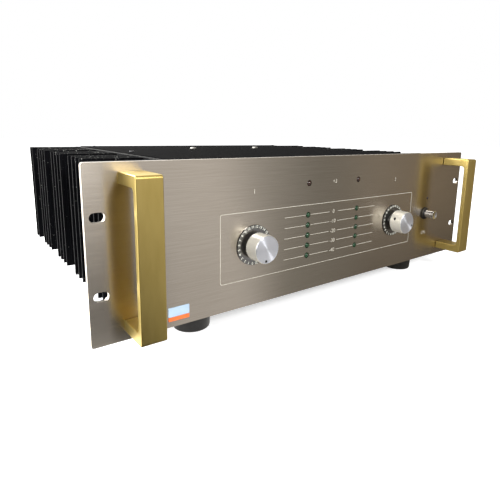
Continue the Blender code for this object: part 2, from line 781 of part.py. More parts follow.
def make_cover():
    """Lid, the brace under it and the two screws that hold them together."""
    low = (-RAIL_X, BEHIND_SUBPANEL_Y, COVER_Z)
    cover = block("top_cover", low, (RAIL_X, REAR_OUT_Y, COVER_Z + COVER_T))
    half = BRACE_W / 2
    outline = (
        (-half, -BRACE_H),
        (-half, 0),
        (half, 0),
        (half, -BRACE_H),
        (half - BRACE_T, -BRACE_H),
        (half - BRACE_T, -BRACE_T),
        (BRACE_T - half, -BRACE_T),
        (BRACE_T - half, -BRACE_H),
    )
    place = Matrix.Translation((0, BRACE_Y, CEILING_Z)) @ ACROSS
    length = 2 * (RAIL_X - RAIL_W - GAP)
    brace = solid("cover_brace", extruded(outline, length), place)
    profile = screw_profile(
        COVER_SCREW_HEAD_R, COVER_SCREW_HEAD_H, COVER_SCREW_R, COVER_SCREW_L
    )
    screw = turned(profile, PLAIN_SIDES)
    radius = clear_radius(COVER_SCREW_R, HIDDEN_SIDES)
    for piece, top_z, sheet_t in (
        (cover, COVER_Z + COVER_T, COVER_T),
        (brace, CEILING_Z, BRACE_T),
    ):
        holes = bmesh.new()
        for _, side in SIDES_OF_UNIT:
            mouth = axis_place(side * COVER_SCREW_X, BRACE_Y, top_z, "up")
            add_drill(holes, mouth, radius, sheet_t + OVERRUN, HIDDEN_SIDES)
        combine(piece, holes, "DIFFERENCE")
    for word, side in SIDES_OF_UNIT:
        seat_z = COVER_Z + COVER_T + GAP
        seat = axis_place(side * COVER_SCREW_X, BRACE_Y, seat_z, "up")
        bright_metal(solid("cover_screw_" + word, screw, seat))
    black_paint(cover)
    plated_steel(brace)


def make_top_rails():
    """Angle bars that the cover rests on."""
    for word, side in SIDES_OF_UNIT:
        outline = (
            (side * RAIL_X, CEILING_Z),
            (side * RAIL_X, CEILING_Z - RAIL_H),
            (side * (RAIL_X - RAIL_T), CEILING_Z - RAIL_H),
            (side * (RAIL_X - RAIL_T), CEILING_Z - RAIL_T),
            (side * (RAIL_X - RAIL_W), CEILING_Z - RAIL_T),
            (side * (RAIL_X - RAIL_W), CEILING_Z),
        )
        place = axis_place(0, BEHIND_SUBPANEL_Y + RAIL_L / 2, 0, "front")
        plated_steel(solid("top_rail_" + word, extruded(outline, RAIL_L), place))


def sink_outline(side):
    """A module from above: its base plate and four tapering fins."""
    half = MODULE_W / 2
    fin_in_y = FIN_OUT_Y - FIN_PITCH
    outline = [(side * SINK_X, -half), (side * SINK_FACE_X, -half)]
    for y in (-FIN_OUT_Y, -fin_in_y, fin_in_y, FIN_OUT_Y):
        outline.append((side * SINK_FACE_X, y - FIN_ROOT_T / 2))
        outline.append((side * FIN_TIP_X, y - FIN_TIP_T / 2))
        outline.append((side * FIN_TIP_X, y + FIN_TIP_T / 2))
        outline.append((side * SINK_FACE_X, y + FIN_ROOT_T / 2))
    outline.append((side * SINK_FACE_X, half))
    outline.append((side * SINK_X, half))
    return outline


def make_heatsinks():
    for word, side in SIDES_OF_UNIT:
        mesh = extruded(sink_outline(side), MODULE_H)
        for index in range(MODULE_COUNT):
            place = Matrix.Translation((0, module_centre(index), SINK_Z + MODULE_H / 2))
            black_anodised(solid(f"heatsink_{word}_{index + 1}", mesh, place))


def make_feet():
    """Four rubber feet, two near the panel and two near the back."""
    height = TRAY_Z - GAP
    profile = (
        (FOOT_BORE_R, height),
        (FOOT_TOP_R, height),
        (FOOT_BASE_R, FOOT_BEVEL),
        (FOOT_BASE_R - FOOT_BEVEL, 0),
        (FOOT_RECESS_R, 0),
        (FOOT_RECESS_R, FOOT_RECESS_H),
        (FOOT_BORE_R, FOOT_RECESS_H),
    )
    mesh = turned(profile, PLAIN_SIDES, closed=True)
    ends = (("front", FACE_Y + FOOT_FRONT_Y), ("rear", REAR_OUT_Y - FOOT_REAR_MARGIN))
    for word, side in SIDES_OF_UNIT:
        for end, y in ends:
            place = axis_place(side * FOOT_X, y, 0, "up")
            black_rubber(solid(f"foot_{end}_{word}", mesh, place))


def control_frame(side, setting):
    """Frame on a control's axis, turned to where its pointer stands."""
    angle = math.radians(setting - CONTROL_TRAVEL / 2)
    place = Matrix.Translation((side * CONTROL_X, FACE_Y, CONTROL_POS_Z))
    return place @ Matrix.Rotation(angle, 4, "Y") @ TOWARDS["front"]


def make_controls():
    """A level control on each side: what turns and what stays."""
    disc_hole = clear_radius(BUSH_R, DISC_SIDES)
    disc = tube_profile(disc_hole, SCALE_R, GAP + SCALE_T, GAP)
    nut_back = GAP + SCALE_T + GAP
    nut = tube_profile(clear_radius(BUSH_R, HEX_SIDES), NUT_R, nut_back + NUT_T, nut_back)
    body_front = FACE_Y - BEHIND_SUBPANEL_Y
    body_back = body_front - ATTENUATOR_D
    bush_front = nut_back + NUT_T + BUSH_PROUD
    bore = clear_radius(SHAFT_R, SHAFT_SIDES, SHAFT_CLEARANCE)
    attenuator = (
        (0, body_back + ATTENUATOR_WALL),
        (bore, body_back + ATTENUATOR_WALL),
        (bore, bush_front),
        (BUSH_R, bush_front),
        (BUSH_R, body_front),
        (ATTENUATOR_R, body_front),
        (ATTENUATOR_R, body_back),
        (0, body_back),
    )
    shaft_front = KNOB_FRONT - KNOB_BORE_END - GAP
    shaft_back = body_back + ATTENUATOR_WALL + SHAFT_END_CLEARANCE
    shaft = rod_profile(SHAFT_R, shaft_front, shaft_back)
    knob_bore = clear_radius(SHAFT_R, SHAFT_SIDES)
    knob = (
        (0, KNOB_FRONT),
        (KNOB_R - KNOB_BEVEL, KNOB_FRONT),
        (KNOB_R, KNOB_FRONT - KNOB_BEVEL),
        (KNOB_R, KNOB_BACK),
        (knob_bore, KNOB_BACK),
        (knob_bore, KNOB_FRONT - KNOB_BORE_END),
        (0, KNOB_FRONT - KNOB_BORE_END),
    )
    meshes = {
        "scale_disc": turned(disc, DISC_SIDES, closed=True),
        "attenuator_nut": turned(nut, HEX_SIDES, closed=True),
        "attenuator": turned(attenuator, SHAFT_SIDES),
        "attenuator_shaft": turned(shaft, SHAFT_SIDES),
        "knob": turned(knob, SHOWN_SIDES),
    }
    for (word, side), setting in zip(SIDES_OF_UNIT, (LEFT_SETTING, RIGHT_SETTING)):
        still = control_frame(side, CONTROL_TRAVEL / 2)
        turned_to = control_frame(side, setting)
        black_plastic(solid("scale_disc_" + word, meshes["scale_disc"], origin=still))
        plated_steel(solid("attenuator_nut_" + word, meshes["attenuator_nut"], origin=still))
        plated_steel(solid("attenuator_" + word, meshes["attenuator"], origin=still))
        shaft = solid("attenuator_shaft_" + word, meshes["attenuator_shaft"], origin=turned_to)
        plated_steel(shaft)
        grip = solid("knob_" + word, meshes["knob"], origin=turned_to)
        drill_knob(grip, turned_to)
        bright_metal(grip)


def drill_knob(grip, frame):
    """The pointer's dot on a knob's face, and its screw hole on the far side."""
    holes = bmesh.new()
    dot = Matrix.Translation((0, KNOB_R - DOT_FROM_EDGE, KNOB_FRONT))
    add_drill(holes, dot, DOT_R, DOT_DEPTH, SMALL_SIDES)
    screw_z = KNOB_BACK + GRUB_FROM_BACK
    thread = axis_place(0, -KNOB_R, screw_z, "front")
    add_drill(holes, thread, GRUB_HOLE_R, KNOB_R - SHAFT_R, HIDDEN_SIDES)
    combine(grip, holes, "DIFFERENCE", frame)


def make_meter_boards():
    """A board for each channel, with its column of lights soldered on."""
    back = -METER_BOARD_BACK - BOARD_T / 2
    light = turned((
        (0, LIGHT_PROUD),
        (LIGHT_R * LIGHT_SHOULDER_SHARE, LIGHT_PROUD - LIGHT_DOME * (1 - LIGHT_SHOULDER_SHARE)),
        (LIGHT_R, LIGHT_PROUD - LIGHT_DOME),
        (LIGHT_R, back),
        (0, back),
    ), SMALL_SIDES)
    post_top = METER_BOARD_Y - BEHIND_SUBPANEL_Y
    post = turned(rod_profile(METER_POST_R, post_top, -BOARD_T / 2), HIDDEN_SIDES)
    low_z = min(level_zs()) - METER_BOARD_MARGIN
    high_z = max(level_zs()) + METER_BOARD_MARGIN
    post_x = LIGHT_X + METER_BOARD_OUTWARD - METER_POST_INSET
    chip_z = CONTROL_POS_Z
    for word, side in SIDES_OF_UNIT:
        xs = sorted((
            side * (LIGHT_X - METER_BOARD_INWARD),
            side * (LIGHT_X + METER_BOARD_OUTWARD),
        ))
        low = (xs[0], METER_BOARD_Y, low_z)
        board = block("meter_board_" + word, low, (xs[1], METER_BOARD_Y + BOARD_T, high_z))
        extras = bmesh.new()
        for z in level_zs():
            add_mesh(extras, light, axis_place(side * LIGHT_X, FACE_Y, z, "front"))
        for z in (low_z + METER_POST_INSET, high_z - METER_POST_INSET):
            add_mesh(extras, post, axis_place(side * post_x, METER_BOARD_Y, z, "front"))
        chip_x = (xs[0] + xs[1]) / 2
        chip_back = METER_BOARD_Y + BOARD_T + METER_CHIP_T
        low = (chip_x - METER_CHIP_W / 2, METER_BOARD_Y + BOARD_T / 2, chip_z - METER_CHIP_H / 2)
        high = (chip_x + METER_CHIP_W / 2, chip_back, chip_z + METER_CHIP_H / 2)
        add_block(extras, low, high)
        combine(board, extras, "UNION")
        circuit_board(board)


def make_power_light():
    flange_front = FACE_Y - BEHIND_SUBPANEL_Y
    flange_back = flange_front - PILOT_FLANGE_T
    mesh = turned((
        (0, PILOT_PROUD),
        (PILOT_R * LIGHT_SHOULDER_SHARE, PILOT_PROUD),
        (PILOT_R, 0),
        (PILOT_R, flange_front),
        (PILOT_FLANGE_R, flange_front),
        (PILOT_FLANGE_R, flange_back),
        (PILOT_R, flange_back),
        (PILOT_R, flange_back - PILOT_TAIL),
        (0, flange_back - PILOT_TAIL),
    ), SMALL_SIDES)
    place = axis_place(PILOT_X, FACE_Y, level_zs()[1], "front")
    paint(solid("power_led", mesh, place), (0.12, 0.01, 0.008), 0.2, 0.0)


def make_power_switch():
    """Push switch: a body with a threaded bush, its ring nut and the button in its bore."""
    z = PANEL_Z + SWITCH_Z
    half_w = SWITCH_W / 2
    half_h = SWITCH_H / 2
    low = (SWITCH_X - half_w, BEHIND_SUBPANEL_Y, z - half_h)
    high = (SWITCH_X + half_w, BEHIND_SUBPANEL_Y + SWITCH_D, z + half_h)
    body = block("power_switch", low, high)
    place = axis_place(SWITCH_X, FACE_Y, z, "front")
    bush_front = GAP + SWITCH_NUT_T + SWITCH_BUSH_PROUD
    bush_back = FACE_Y - BEHIND_SUBPANEL_Y - OVERRUN
    collar = bmesh.new()
    bush = turned(rod_profile(SWITCH_BUSH_R, bush_front, bush_back), PLAIN_SIDES)
    add_mesh(collar, bush, place)
    combine(body, collar, "UNION")
    bore = bmesh.new()
    mouth = axis_place(SWITCH_X, FACE_Y - bush_front, z, "front")
    radius = clear_radius(BUTTON_R, SHAFT_SIDES, BUTTON_CLEARANCE)
    depth = bush_front + BUTTON_TAIL + BUTTON_TRAVEL + BUTTON_STOP_ROOM
    add_drill(bore, mouth, radius, depth, SHAFT_SIDES)
    combine(body, bore, "DIFFERENCE")
    black_plastic(body)

    ring_hole = clear_radius(SWITCH_BUSH_R, PLAIN_SIDES)
    ring = tube_profile(ring_hole, SWITCH_NUT_R, GAP + SWITCH_NUT_T, GAP)
    black_anodised(solid("switch_nut", turned(ring, PLAIN_SIDES, closed=True), place))
    button = turned((
        (0, BUTTON_REACH - BUTTON_DISH),
        (BUTTON_R - BUTTON_RIM, BUTTON_REACH),
        (BUTTON_R, BUTTON_REACH),
        (BUTTON_R, -BUTTON_TAIL),
        (0, -BUTTON_TAIL),
    ), SHAFT_SIDES)
    bright_metal(solid("power_button", button, origin=place))


def make_transformer():
    """Ring transformer, held down by a plate and one bolt through its middle."""
    half = RING_H / 2
    corners = ((RING_BORE_R, half), (RING_R, half), (RING_R, -half), (RING_BORE_R, -half))
    radii = (RING_BORE_ROUND, RING_ROUND, RING_ROUND, RING_BORE_ROUND)
    ring = turned(rounded(corners, radii), SHAFT_SIDES, closed=True)
    winding = solid("transformer", ring, Matrix.Translation((0, RING_Y, FLOOR_Z + half)))
    paint(winding, (0.45, 0.30, 0.08), 0.45, 0.0)

    hole = clear_radius(RING_BOLT_R, PLAIN_SIDES)
    plate = turned(tube_profile(hole, CLAMP_R, CLAMP_T, 0), PLAIN_SIDES, closed=True)
    plate_z = FLOOR_Z + RING_H + GAP
    plated_steel(solid("transformer_clamp", plate, axis_place(0, RING_Y, plate_z, "up")))

    seat_z = plate_z + CLAMP_T + GAP
    shank = seat_z - TRAY_Z
    profile = screw_profile(RING_BOLT_HEAD_R, RING_BOLT_HEAD_H, RING_BOLT_R, shank)
    bolt = turned(profile, HIDDEN_SIDES)
    plated_steel(solid("transformer_bolt", bolt, axis_place(0, RING_Y, seat_z, "up")))


def make_capacitors():
    """Two reservoir cans, in a collar that stands on the tray."""
    y = CAPACITOR_Y
    can = turned((
        (0, CAPACITOR_H - CAPACITOR_RIM),
        (CAPACITOR_R - CAPACITOR_RIM, CAPACITOR_H - CAPACITOR_RIM),
        (CAPACITOR_R - CAPACITOR_RIM, CAPACITOR_H),
        (CAPACITOR_R, CAPACITOR_H - CAPACITOR_RIM),
        (CAPACITOR_R, 0),
        (0, 0),
    ), PLAIN_SIDES)
    stud_z = FLOOR_Z + CAPACITOR_H - CAPACITOR_RIM
    for word, side in SIDES_OF_UNIT:
        x = side * CAPACITOR_X
        capacitor = solid("reservoir_capacitor_" + word, can, axis_place(x, y, FLOOR_Z, "up"))
        studs = bmesh.new()
        for end in (-1, 1):
            stud = turned(rod_profile(TERMINAL_R, TERMINAL_H, -OVERRUN), HIDDEN_SIDES)
            add_mesh(studs, stud, axis_place(x + end * TERMINAL_X, y, stud_z, "up"))
        combine(capacitor, studs, "UNION")
        paint(capacitor, (0.03, 0.05, 0.16), 0.4, 0.0)

    half = CAPACITOR_X + COLLAR_REACH
    low = (-half, y - COLLAR_REACH, FLOOR_Z)
    top_z = FLOOR_Z + COLLAR_H
    collar = block("capacitor_collar", low, (half, y + COLLAR_REACH, top_z))
    holes = bmesh.new()
    for _, side in SIDES_OF_UNIT:
        mouth = axis_place(side * CAPACITOR_X, y, top_z, "up")
        radius = clear_radius(CAPACITOR_R, PLAIN_SIDES)
        add_drill(holes, mouth, radius, COLLAR_H + OVERRUN, PLAIN_SIDES)
    combine(collar, holes, "DIFFERENCE")
    black_plastic(collar)


def make_rectifier():
    half = RECTIFIER_W / 2
    y = RECTIFIER_Y
    top_z = FLOOR_Z + RECTIFIER_H
    rectifier = block("bridge_rectifier", (-half, y - half, FLOOR_Z), (half, y + half, top_z))
    hole = bmesh.new()
    place = axis_place(0, y, top_z, "up")
    add_drill(hole, place, RECTIFIER_HOLE_R, RECTIFIER_H + OVERRUN, HIDDEN_SIDES)
    combine(rectifier, hole, "DIFFERENCE")
    black_plastic(rectifier)


def make_driver_boards():
    """An upright board for each channel, with all that is soldered to it."""
    can = turned(rod_profile(SMALL_CAN_R, SMALL_CAN_H, -BOARD_T / 2), SMALL_SIDES)
    for word, side in SIDES_OF_UNIT:
        face = side * (BOARD_X - BOARD_T)
        middle = side * (BOARD_X - BOARD_T / 2)
        xs = sorted((side * BOARD_X, face))
        low = (xs[0], BOARD_Y, BOARD_Z)
        high = (xs[1], BOARD_Y + BOARD_L, BOARD_Z + BOARD_H)
        board = block("driver_board_" + word, low, high)
        extras = bmesh.new()
        for share_y, share_z in RELAY_SHARES:
            y = BOARD_Y + BOARD_L * share_y
            z = BOARD_Z + BOARD_H * share_z
            add_centred_block(extras, middle, face - side * RELAY_T, (y, z), (RELAY_W, RELAY_H))
        for share_y, share_z in SMALL_CAN_SHARES:
            y = BOARD_Y + BOARD_L * share_y
            z = BOARD_Z + BOARD_H * share_z
            add_mesh(extras, can, axis_place(face, y, z, INWARDS[word]))
        combine(board, extras, "UNION")
        leads = bmesh.new()
        packages = bmesh.new()
        back = side * RAIL_X
        front = back - side * TRANSISTOR_T
        leads_z = TRANSISTOR_Z - TRANSISTOR_H / 2 + LEADS_H
        for y in transistor_ys():
            place = (y, TRANSISTOR_Z)
            add_centred_block(packages, front, back, place, (TRANSISTOR_W, TRANSISTOR_H))
            pins_end = front + side * TRANSISTOR_T / 2
            add_centred_block(leads, middle, pins_end, (y, leads_z), (LEADS_W, LEADS_H))
        combine(board, leads, "UNION")
        combine(board, packages, "UNION")
        circuit_board(board)


def add_centred_block(shape, x_from, x_to, centre, size):
    """Add a box between two X values, centred on a (y, z) place."""
    xs = sorted((x_from, x_to))
    low = (xs[0], centre[0] - size[0] / 2, centre[1] - size[1] / 2)
    high = (xs[1], centre[0] + size[0] / 2, centre[1] + size[1] / 2)
    add_block(shape, low, high)


def transistor_ys():
    """Places of the output transistors along one side, a few to each heatsink."""
    ys = []
    for index in range(MODULE_COUNT):
        for number in range(TRANSISTORS_PER_MODULE):
            offset = number - (TRANSISTORS_PER_MODULE - 1) / 2
            ys.append(module_centre(index) + offset * TRANSISTOR_PITCH)
    return ys


def make_mains_inlet():
    """Three-pin mains inlet, its mouth facing back."""
    x = INLET_X
    z = PANEL_Z + INLET_Z
    front = REAR_OUT_Y + GAP
    face = front + INLET_FLANGE_T
    low = (x - INLET_FLANGE_W / 2, front, z - INLET_FLANGE_H / 2)
    high = (x + INLET_FLANGE_W / 2, face, z + INLET_FLANGE_H / 2)
    inlet = block("mains_inlet", low, high)
    body = bmesh.new()
    low = (x - INLET_BODY_W / 2, face - INLET_BODY_D, z - INLET_BODY_H / 2)
    high = (x + INLET_BODY_W / 2, front + INLET_FLANGE_T / 2, z + INLET_BODY_H / 2)
    add_block(body, low, high)
    combine(inlet, body, "UNION")
    cavity = bmesh.new()
    floor_y = face - INLET_CAVITY_D
    low = (x - INLET_CAVITY_W / 2, floor_y, z - INLET_CAVITY_H / 2)
    high = (x + INLET_CAVITY_W / 2, face + OVERRUN, z + INLET_CAVITY_H / 2)
    add_block(cavity, low, high)
    combine(inlet, cavity, "DIFFERENCE")
    pins = bmesh.new()
    for across, rise in (
        (-INLET_PIN_X, -INLET_PIN_DROP),
        (INLET_PIN_X, -INLET_PIN_DROP),
        (0, INLET_EARTH_RISE),
    ):
        pin_x = x + across
        pin_z = z + rise
        low = (pin_x - INLET_PIN_T / 2, floor_y - OVERRUN, pin_z - INLET_PIN_W / 2)
        high = (pin_x + INLET_PIN_T / 2, floor_y + INLET_PIN_L, pin_z + INLET_PIN_W / 2)
        add_block(pins, low, high)
    combine(inlet, pins, "UNION")
    black_plastic(inlet)


def make_fuse():
    """Fuse holder and the cap that turns to let the fuse out."""
    place = axis_place(INLET_X, REAR_OUT_Y, PANEL_Z + FUSE_Z, "back")
    front = GAP + FUSE_FLANGE_T
    bore = clear_radius(FUSE_CAP_R, PLAIN_SIDES, SHAFT_CLEARANCE)
    bore_back = front - FUSE_CAP_IN - FUSE_BORE_SPARE
    holder = turned((
        (0, bore_back),
        (bore, bore_back),
        (bore, front),
        (FUSE_FLANGE_R, front),
        (FUSE_FLANGE_R, GAP),
        (FUSE_BODY_R, GAP),
        (FUSE_BODY_R, -FUSE_BODY_D),
        (0, -FUSE_BODY_D),
    ), PLAIN_SIDES)
    black_plastic(solid("fuse_holder", holder, place))

    cap_back = front + GAP
    face = cap_back + FUSE_CAP_HEAD_H
    mesh = turned((
        (0, face),
        (FUSE_CAP_HEAD_R, face),
        (FUSE_CAP_HEAD_R, cap_back),
        (FUSE_CAP_R, cap_back),
        (FUSE_CAP_R, front - FUSE_CAP_IN),
        (0, front - FUSE_CAP_IN),
    ), PLAIN_SIDES)
    cap = solid("fuse_cap", mesh, origin=place)
    slot = bmesh.new()
    reach = FUSE_CAP_HEAD_R + OVERRUN
    low = (-reach, -FUSE_SLOT_W / 2, face - FUSE_SLOT_DEPTH)
    add_block(slot, low, (reach, FUSE_SLOT_W / 2, face + OVERRUN))
    combine(cap, slot, "DIFFERENCE", place)
    black_plastic(cap)


def input_x(side):
    """Middle of an input socket, both of them on the left of the rear panel."""
    return -INPUT_X + side * INPUT_PITCH / 2


def make_input_sockets():
    """A three-pole socket with an upright flange for each channel."""
    front = REAR_OUT_Y + GAP
    z = PANEL_Z + INPUT_Z
    barrel = turned(rod_profile(INPUT_BARREL_R, INPUT_FLANGE_T / 2, -INPUT_BARREL_D), PLAIN_SIDES)
    groove = turned(
        tube_profile(INPUT_INSERT_R, INPUT_GROOVE_R, INPUT_FLANGE_T + OVERRUN, -INPUT_GROOVE_D),
        PLAIN_SIDES,
        closed=True,
    )
    for word, side in SIDES_OF_UNIT:
        x = input_x(side)
        low = (x - INPUT_FLANGE_W / 2, front, z - INPUT_FLANGE_H / 2)
        high = (x + INPUT_FLANGE_W / 2, front + INPUT_FLANGE_T, z + INPUT_FLANGE_H / 2)
        socket = block("input_socket_" + word, low, high)
        place = axis_place(x, front, z, "back")
        body = bmesh.new()
        add_mesh(body, barrel, place)
        combine(socket, body, "UNION")
        ring = bmesh.new()
        add_mesh(ring, groove, place)
        combine(socket, ring, "DIFFERENCE")
        plated_steel(socket)


def output_post_xs(side):
    """Middles of one channel's two loudspeaker posts."""
    return [side * OUTPUT_X + end * OUTPUT_PITCH / 2 for end in (-1, 1)]


def make_output_terminals():
    """A moulded plate with two loudspeaker posts for each channel."""
    front = REAR_OUT_Y + GAP
    z = PANEL_Z + OUTPUT_Z
    post_front = OUTPUT_PLATE_T + OUTPUT_POST_H
    post = turned((
        (0, post_front),
        (OUTPUT_POST_R, post_front),
        (OUTPUT_POST_R, OUTPUT_PLATE_T / 2),
        (OUTPUT_BARREL_R, OUTPUT_PLATE_T / 2),
        (OUTPUT_BARREL_R, -OUTPUT_BARREL_D),
        (0, -OUTPUT_BARREL_D),
    ), SMALL_SIDES)
    for word, side in SIDES_OF_UNIT:
        x = side * OUTPUT_X
        low = (x - OUTPUT_PLATE_W / 2, front, z - OUTPUT_PLATE_H / 2)
        high = (x + OUTPUT_PLATE_W / 2, front + OUTPUT_PLATE_T, z + OUTPUT_PLATE_H / 2)
        plate = block("output_terminals_" + word, low, high)
        posts = bmesh.new()
        bores = bmesh.new()
        for post_x in output_post_xs(side):
            add_mesh(posts, post, axis_place(post_x, front, z, "back"))
            mouth = axis_place(post_x, front + post_front, z, "back")
            add_drill(bores, mouth, OUTPUT_BORE_R, OUTPUT_BORE_D, SMALL_SIDES)
        combine(plate, posts, "UNION")
        combine(plate, bores, "DIFFERENCE")
        paint(plate, (0.25, 0.02, 0.02), 0.35, 0.0)


make_front_panel()
make_subpanel()
make_handles()
make_tray()
make_rear_panel()
make_cover()
make_top_rails()
make_heatsinks()
make_feet()
make_controls()
make_meter_boards()
make_power_light()
make_power_switch()
make_transformer()
make_capacitors()
make_rectifier()
make_driver_boards()
make_mains_inlet()
make_fuse()
make_input_sockets()
make_output_terminals()
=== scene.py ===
import math

import bpy
from mathutils import Matrix, Vector


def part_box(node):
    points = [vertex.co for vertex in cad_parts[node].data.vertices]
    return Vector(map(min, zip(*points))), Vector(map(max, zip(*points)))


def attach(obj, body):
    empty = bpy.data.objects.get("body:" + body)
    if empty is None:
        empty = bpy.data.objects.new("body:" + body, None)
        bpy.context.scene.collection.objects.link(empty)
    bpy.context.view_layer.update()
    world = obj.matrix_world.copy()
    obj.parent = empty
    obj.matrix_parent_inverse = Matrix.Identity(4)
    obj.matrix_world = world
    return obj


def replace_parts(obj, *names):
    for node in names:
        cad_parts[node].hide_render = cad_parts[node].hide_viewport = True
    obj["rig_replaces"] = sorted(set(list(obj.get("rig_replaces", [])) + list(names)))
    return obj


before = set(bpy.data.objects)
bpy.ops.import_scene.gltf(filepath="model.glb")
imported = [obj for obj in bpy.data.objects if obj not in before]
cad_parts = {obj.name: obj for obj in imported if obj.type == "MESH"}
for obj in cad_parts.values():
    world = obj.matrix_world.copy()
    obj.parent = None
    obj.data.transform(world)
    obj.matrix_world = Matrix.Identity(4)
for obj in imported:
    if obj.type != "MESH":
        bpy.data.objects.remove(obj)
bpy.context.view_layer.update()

MM = 0.001

# The photograph's view. The camera stands close to the left handle, a little above
# the unit, and looks along the panel to the right and slightly down.
CAMERA_PLACE = (-316.0 * MM, -438.6 * MM, 170.9 * MM)
CAMERA_PAN = -38.02
CAMERA_TILT = -11.0
CAMERA_ROLL = 1.21
CAMERA_LENS = 30.7
CAMERA_SHIFT = (-0.0348, -0.0728)

camera_data = bpy.data.cameras.new("camera")
camera_data.lens = CAMERA_LENS
camera_data.sensor_width = 36.0
camera_data.shift_x, camera_data.shift_y = CAMERA_SHIFT
camera_data.clip_start = 0.01
camera = bpy.data.objects.new("camera", camera_data)
bpy.context.scene.collection.objects.link(camera)
camera.matrix_world = (
    Matrix.Translation(CAMERA_PLACE)
    @ Matrix.Rotation(math.radians(CAMERA_PAN), 4, "Z")
    @ Matrix.Rotation(math.radians(90 + CAMERA_TILT), 4, "X")
    @ Matrix.Rotation(math.radians(CAMERA_ROLL), 4, "Z")
)
bpy.context.scene.camera = camera
bpy.context.scene.view_settings.view_transform = "Standard"


# The studio: a white room on a white floor, lit evenly, with a soft lamp behind on the
# left and another in front. What metal mirrors grows darker round to the right, as the
# room of the photograph does, and the floor in front is dark to it.
ROOM_LIGHT = 0.7
ROOM_BRIGHTEST = 3.6
ROOM_SHADES = (
    (-180, 2.6, "#FFFDF8"), (-150, 3.6, "#FFFDF8"), (-115, 3.0, "#FFFDF8"),
    (-90, 2.0, "#FFFDF8"), (-65, 0.6, "#FFFDF8"), (-40, 0.16, "#FFFDF8"), (3, 0.24, "#FFF6EC"),
    (14, 0.54, "#FFF8F0"), (22, 0.66, "#FFFBF6"), (31, 0.8, "#FFFBF6"),
    (38, 0.42, "#FFFBF4"), (46, 0.23, "#FFFAEE"), (53, 0.31, "#FFF0DC"),
    (60, 0.27, "#FFE8C8"), (66, 0.16, "#FFECD0"), (100, 0.2, "#FFF6EC"),
    (140, 0.9, "#FFFDF8"), (180, 2.6, "#FFFDF8"),
)
FLOOR_CENTRE = (-0.316, 0.15, 0.0)
FLOOR_NEAR, FLOOR_FAR = 0.5, 1.3
FLOOR_SHADES = (
    (-180, 1.8, "#FFFDF8"), (-110, 2.2, "#FFFDF8"), (-70, 0.8, "#FFFDF8"),
    (-35, 0.06, "#FFF6EC"), (2, 0.03, "#FFF6EC"), (17, 0.04, "#FFF6EC"),
    (27, 0.56, "#FFFBF6"), (34, 0.62, "#FFFBF6"), (42, 0.26, "#FFFAEE"),
    (55, 0.17, "#FFF0DC"), (63, 0.09, "#FFECD0"), (120, 0.4, "#FFF6EC"), (180, 1.8, "#FFFDF8"),
)
FLOOR_LEFT_FROM, FLOOR_LEFT_TO = -0.2, -0.22
FLOOR_BEHIND_FROM, FLOOR_BEHIND_TO = -0.17, -0.13
FLOOR_SIZE = 12.0
FLOOR_GLOW = 0.6
KEY_PLACE = (-1.0, 1.5, 1.1)
KEY_SIZE = (1.2, 1.2)
KEY_POWER = 80.0
FRONT_PLACE = (0.1, -1.75, 1.15)
FRONT_SIZE = (0.4, 0.4)
FRONT_POWER = 20.0
LEFT_PLACE = (-1.6, -0.5, 0.9)
LEFT_SIZE = (1.0, 1.0)
LEFT_POWER = 18.0


def linear(code):
    """A colour written as sRGB hex, in Blender's linear values."""
    channels = [int(code[start:start + 2], 16) / 255 for start in (1, 3, 5)]
    return (*(c / 12.92 if c <= 0.04045 else ((c + 0.055) / 1.055) ** 2.4 for c in channels), 1)


def add_node(tree, kind, values=None, links=None, **settings):
    """Add a node with its settings, the values of its sockets and what is linked to them."""
    node = tree.nodes.new("ShaderNode" + kind)
    for name, value in settings.items():
        setattr(node, name, value)
    for socket, value in (values or {}).items():
        node.inputs[socket].default_value = value
    for socket, source in (links or {}).items():
        tree.links.new(source, node.inputs[socket])
    return node


def shade_round(tree, direction, shades):
    """Brightness by the way a direction points, in degrees from the front to the right."""
    apart = add_node(tree, "SeparateXYZ", links={"Vector": direction})
    frontward = add_node(tree, "Math", values={1: -1.0}, links={
        0: apart.outputs["Y"],
    }, operation="MULTIPLY")
    angle = add_node(tree, "Math", links={
        0: apart.outputs["X"], 1: frontward.outputs[0],
    }, operation="ARCTAN2")
    share = add_node(tree, "MapRange", values={
        "From Min": -math.pi, "From Max": math.pi,
    }, links={"Value": angle.outputs[0]})
    ramp = add_node(tree, "ValToRGB", links={"Fac": share.outputs["Result"]})
    ramp.color_ramp.interpolation = "EASE"
    stops = ramp.color_ramp.elements
    while len(stops) < len(shades):
        stops.new(0.5)
    for stop, (degrees, value, colour) in zip(stops, shades):
        stop.position = degrees / 360 + 0.5
        stop.color = (*(value / ROOM_BRIGHTEST * tint for tint in linear(colour)[:3]), 1)
    return ramp.outputs["Color"]


world = bpy.data.worlds.new("studio")
world.use_nodes = True
bpy.context.scene.world = world
tree = world.node_tree
tree.nodes.clear()
where = add_node(tree, "TexCoord")
path = add_node(tree, "LightPath")
mirrored = add_node(tree, "Background", values={"Strength": ROOM_BRIGHTEST}, links={
    "Color": shade_round(tree, where.outputs["Generated"], ROOM_SHADES),
})
lit = add_node(tree, "Background", values={
    "Color": linear("#FFFFFF"), "Strength": ROOM_LIGHT,
})
backdrop = add_node(tree, "Background", values={"Color": linear("#FFFFFF"), "Strength": 1.0})
by_metal = add_node(tree, "MixShader", links={
    "Fac": path.outputs["Is Glossy Ray"], 1: lit.outputs[0], 2: mirrored.outputs[0],
})
by_camera = add_node(tree, "MixShader", links={
    "Fac": path.outputs["Is Camera Ray"], 1: by_metal.outputs[0], 2: backdrop.outputs[0],
})
add_node(tree, "OutputWorld", links={"Surface": by_camera.outputs[0]})

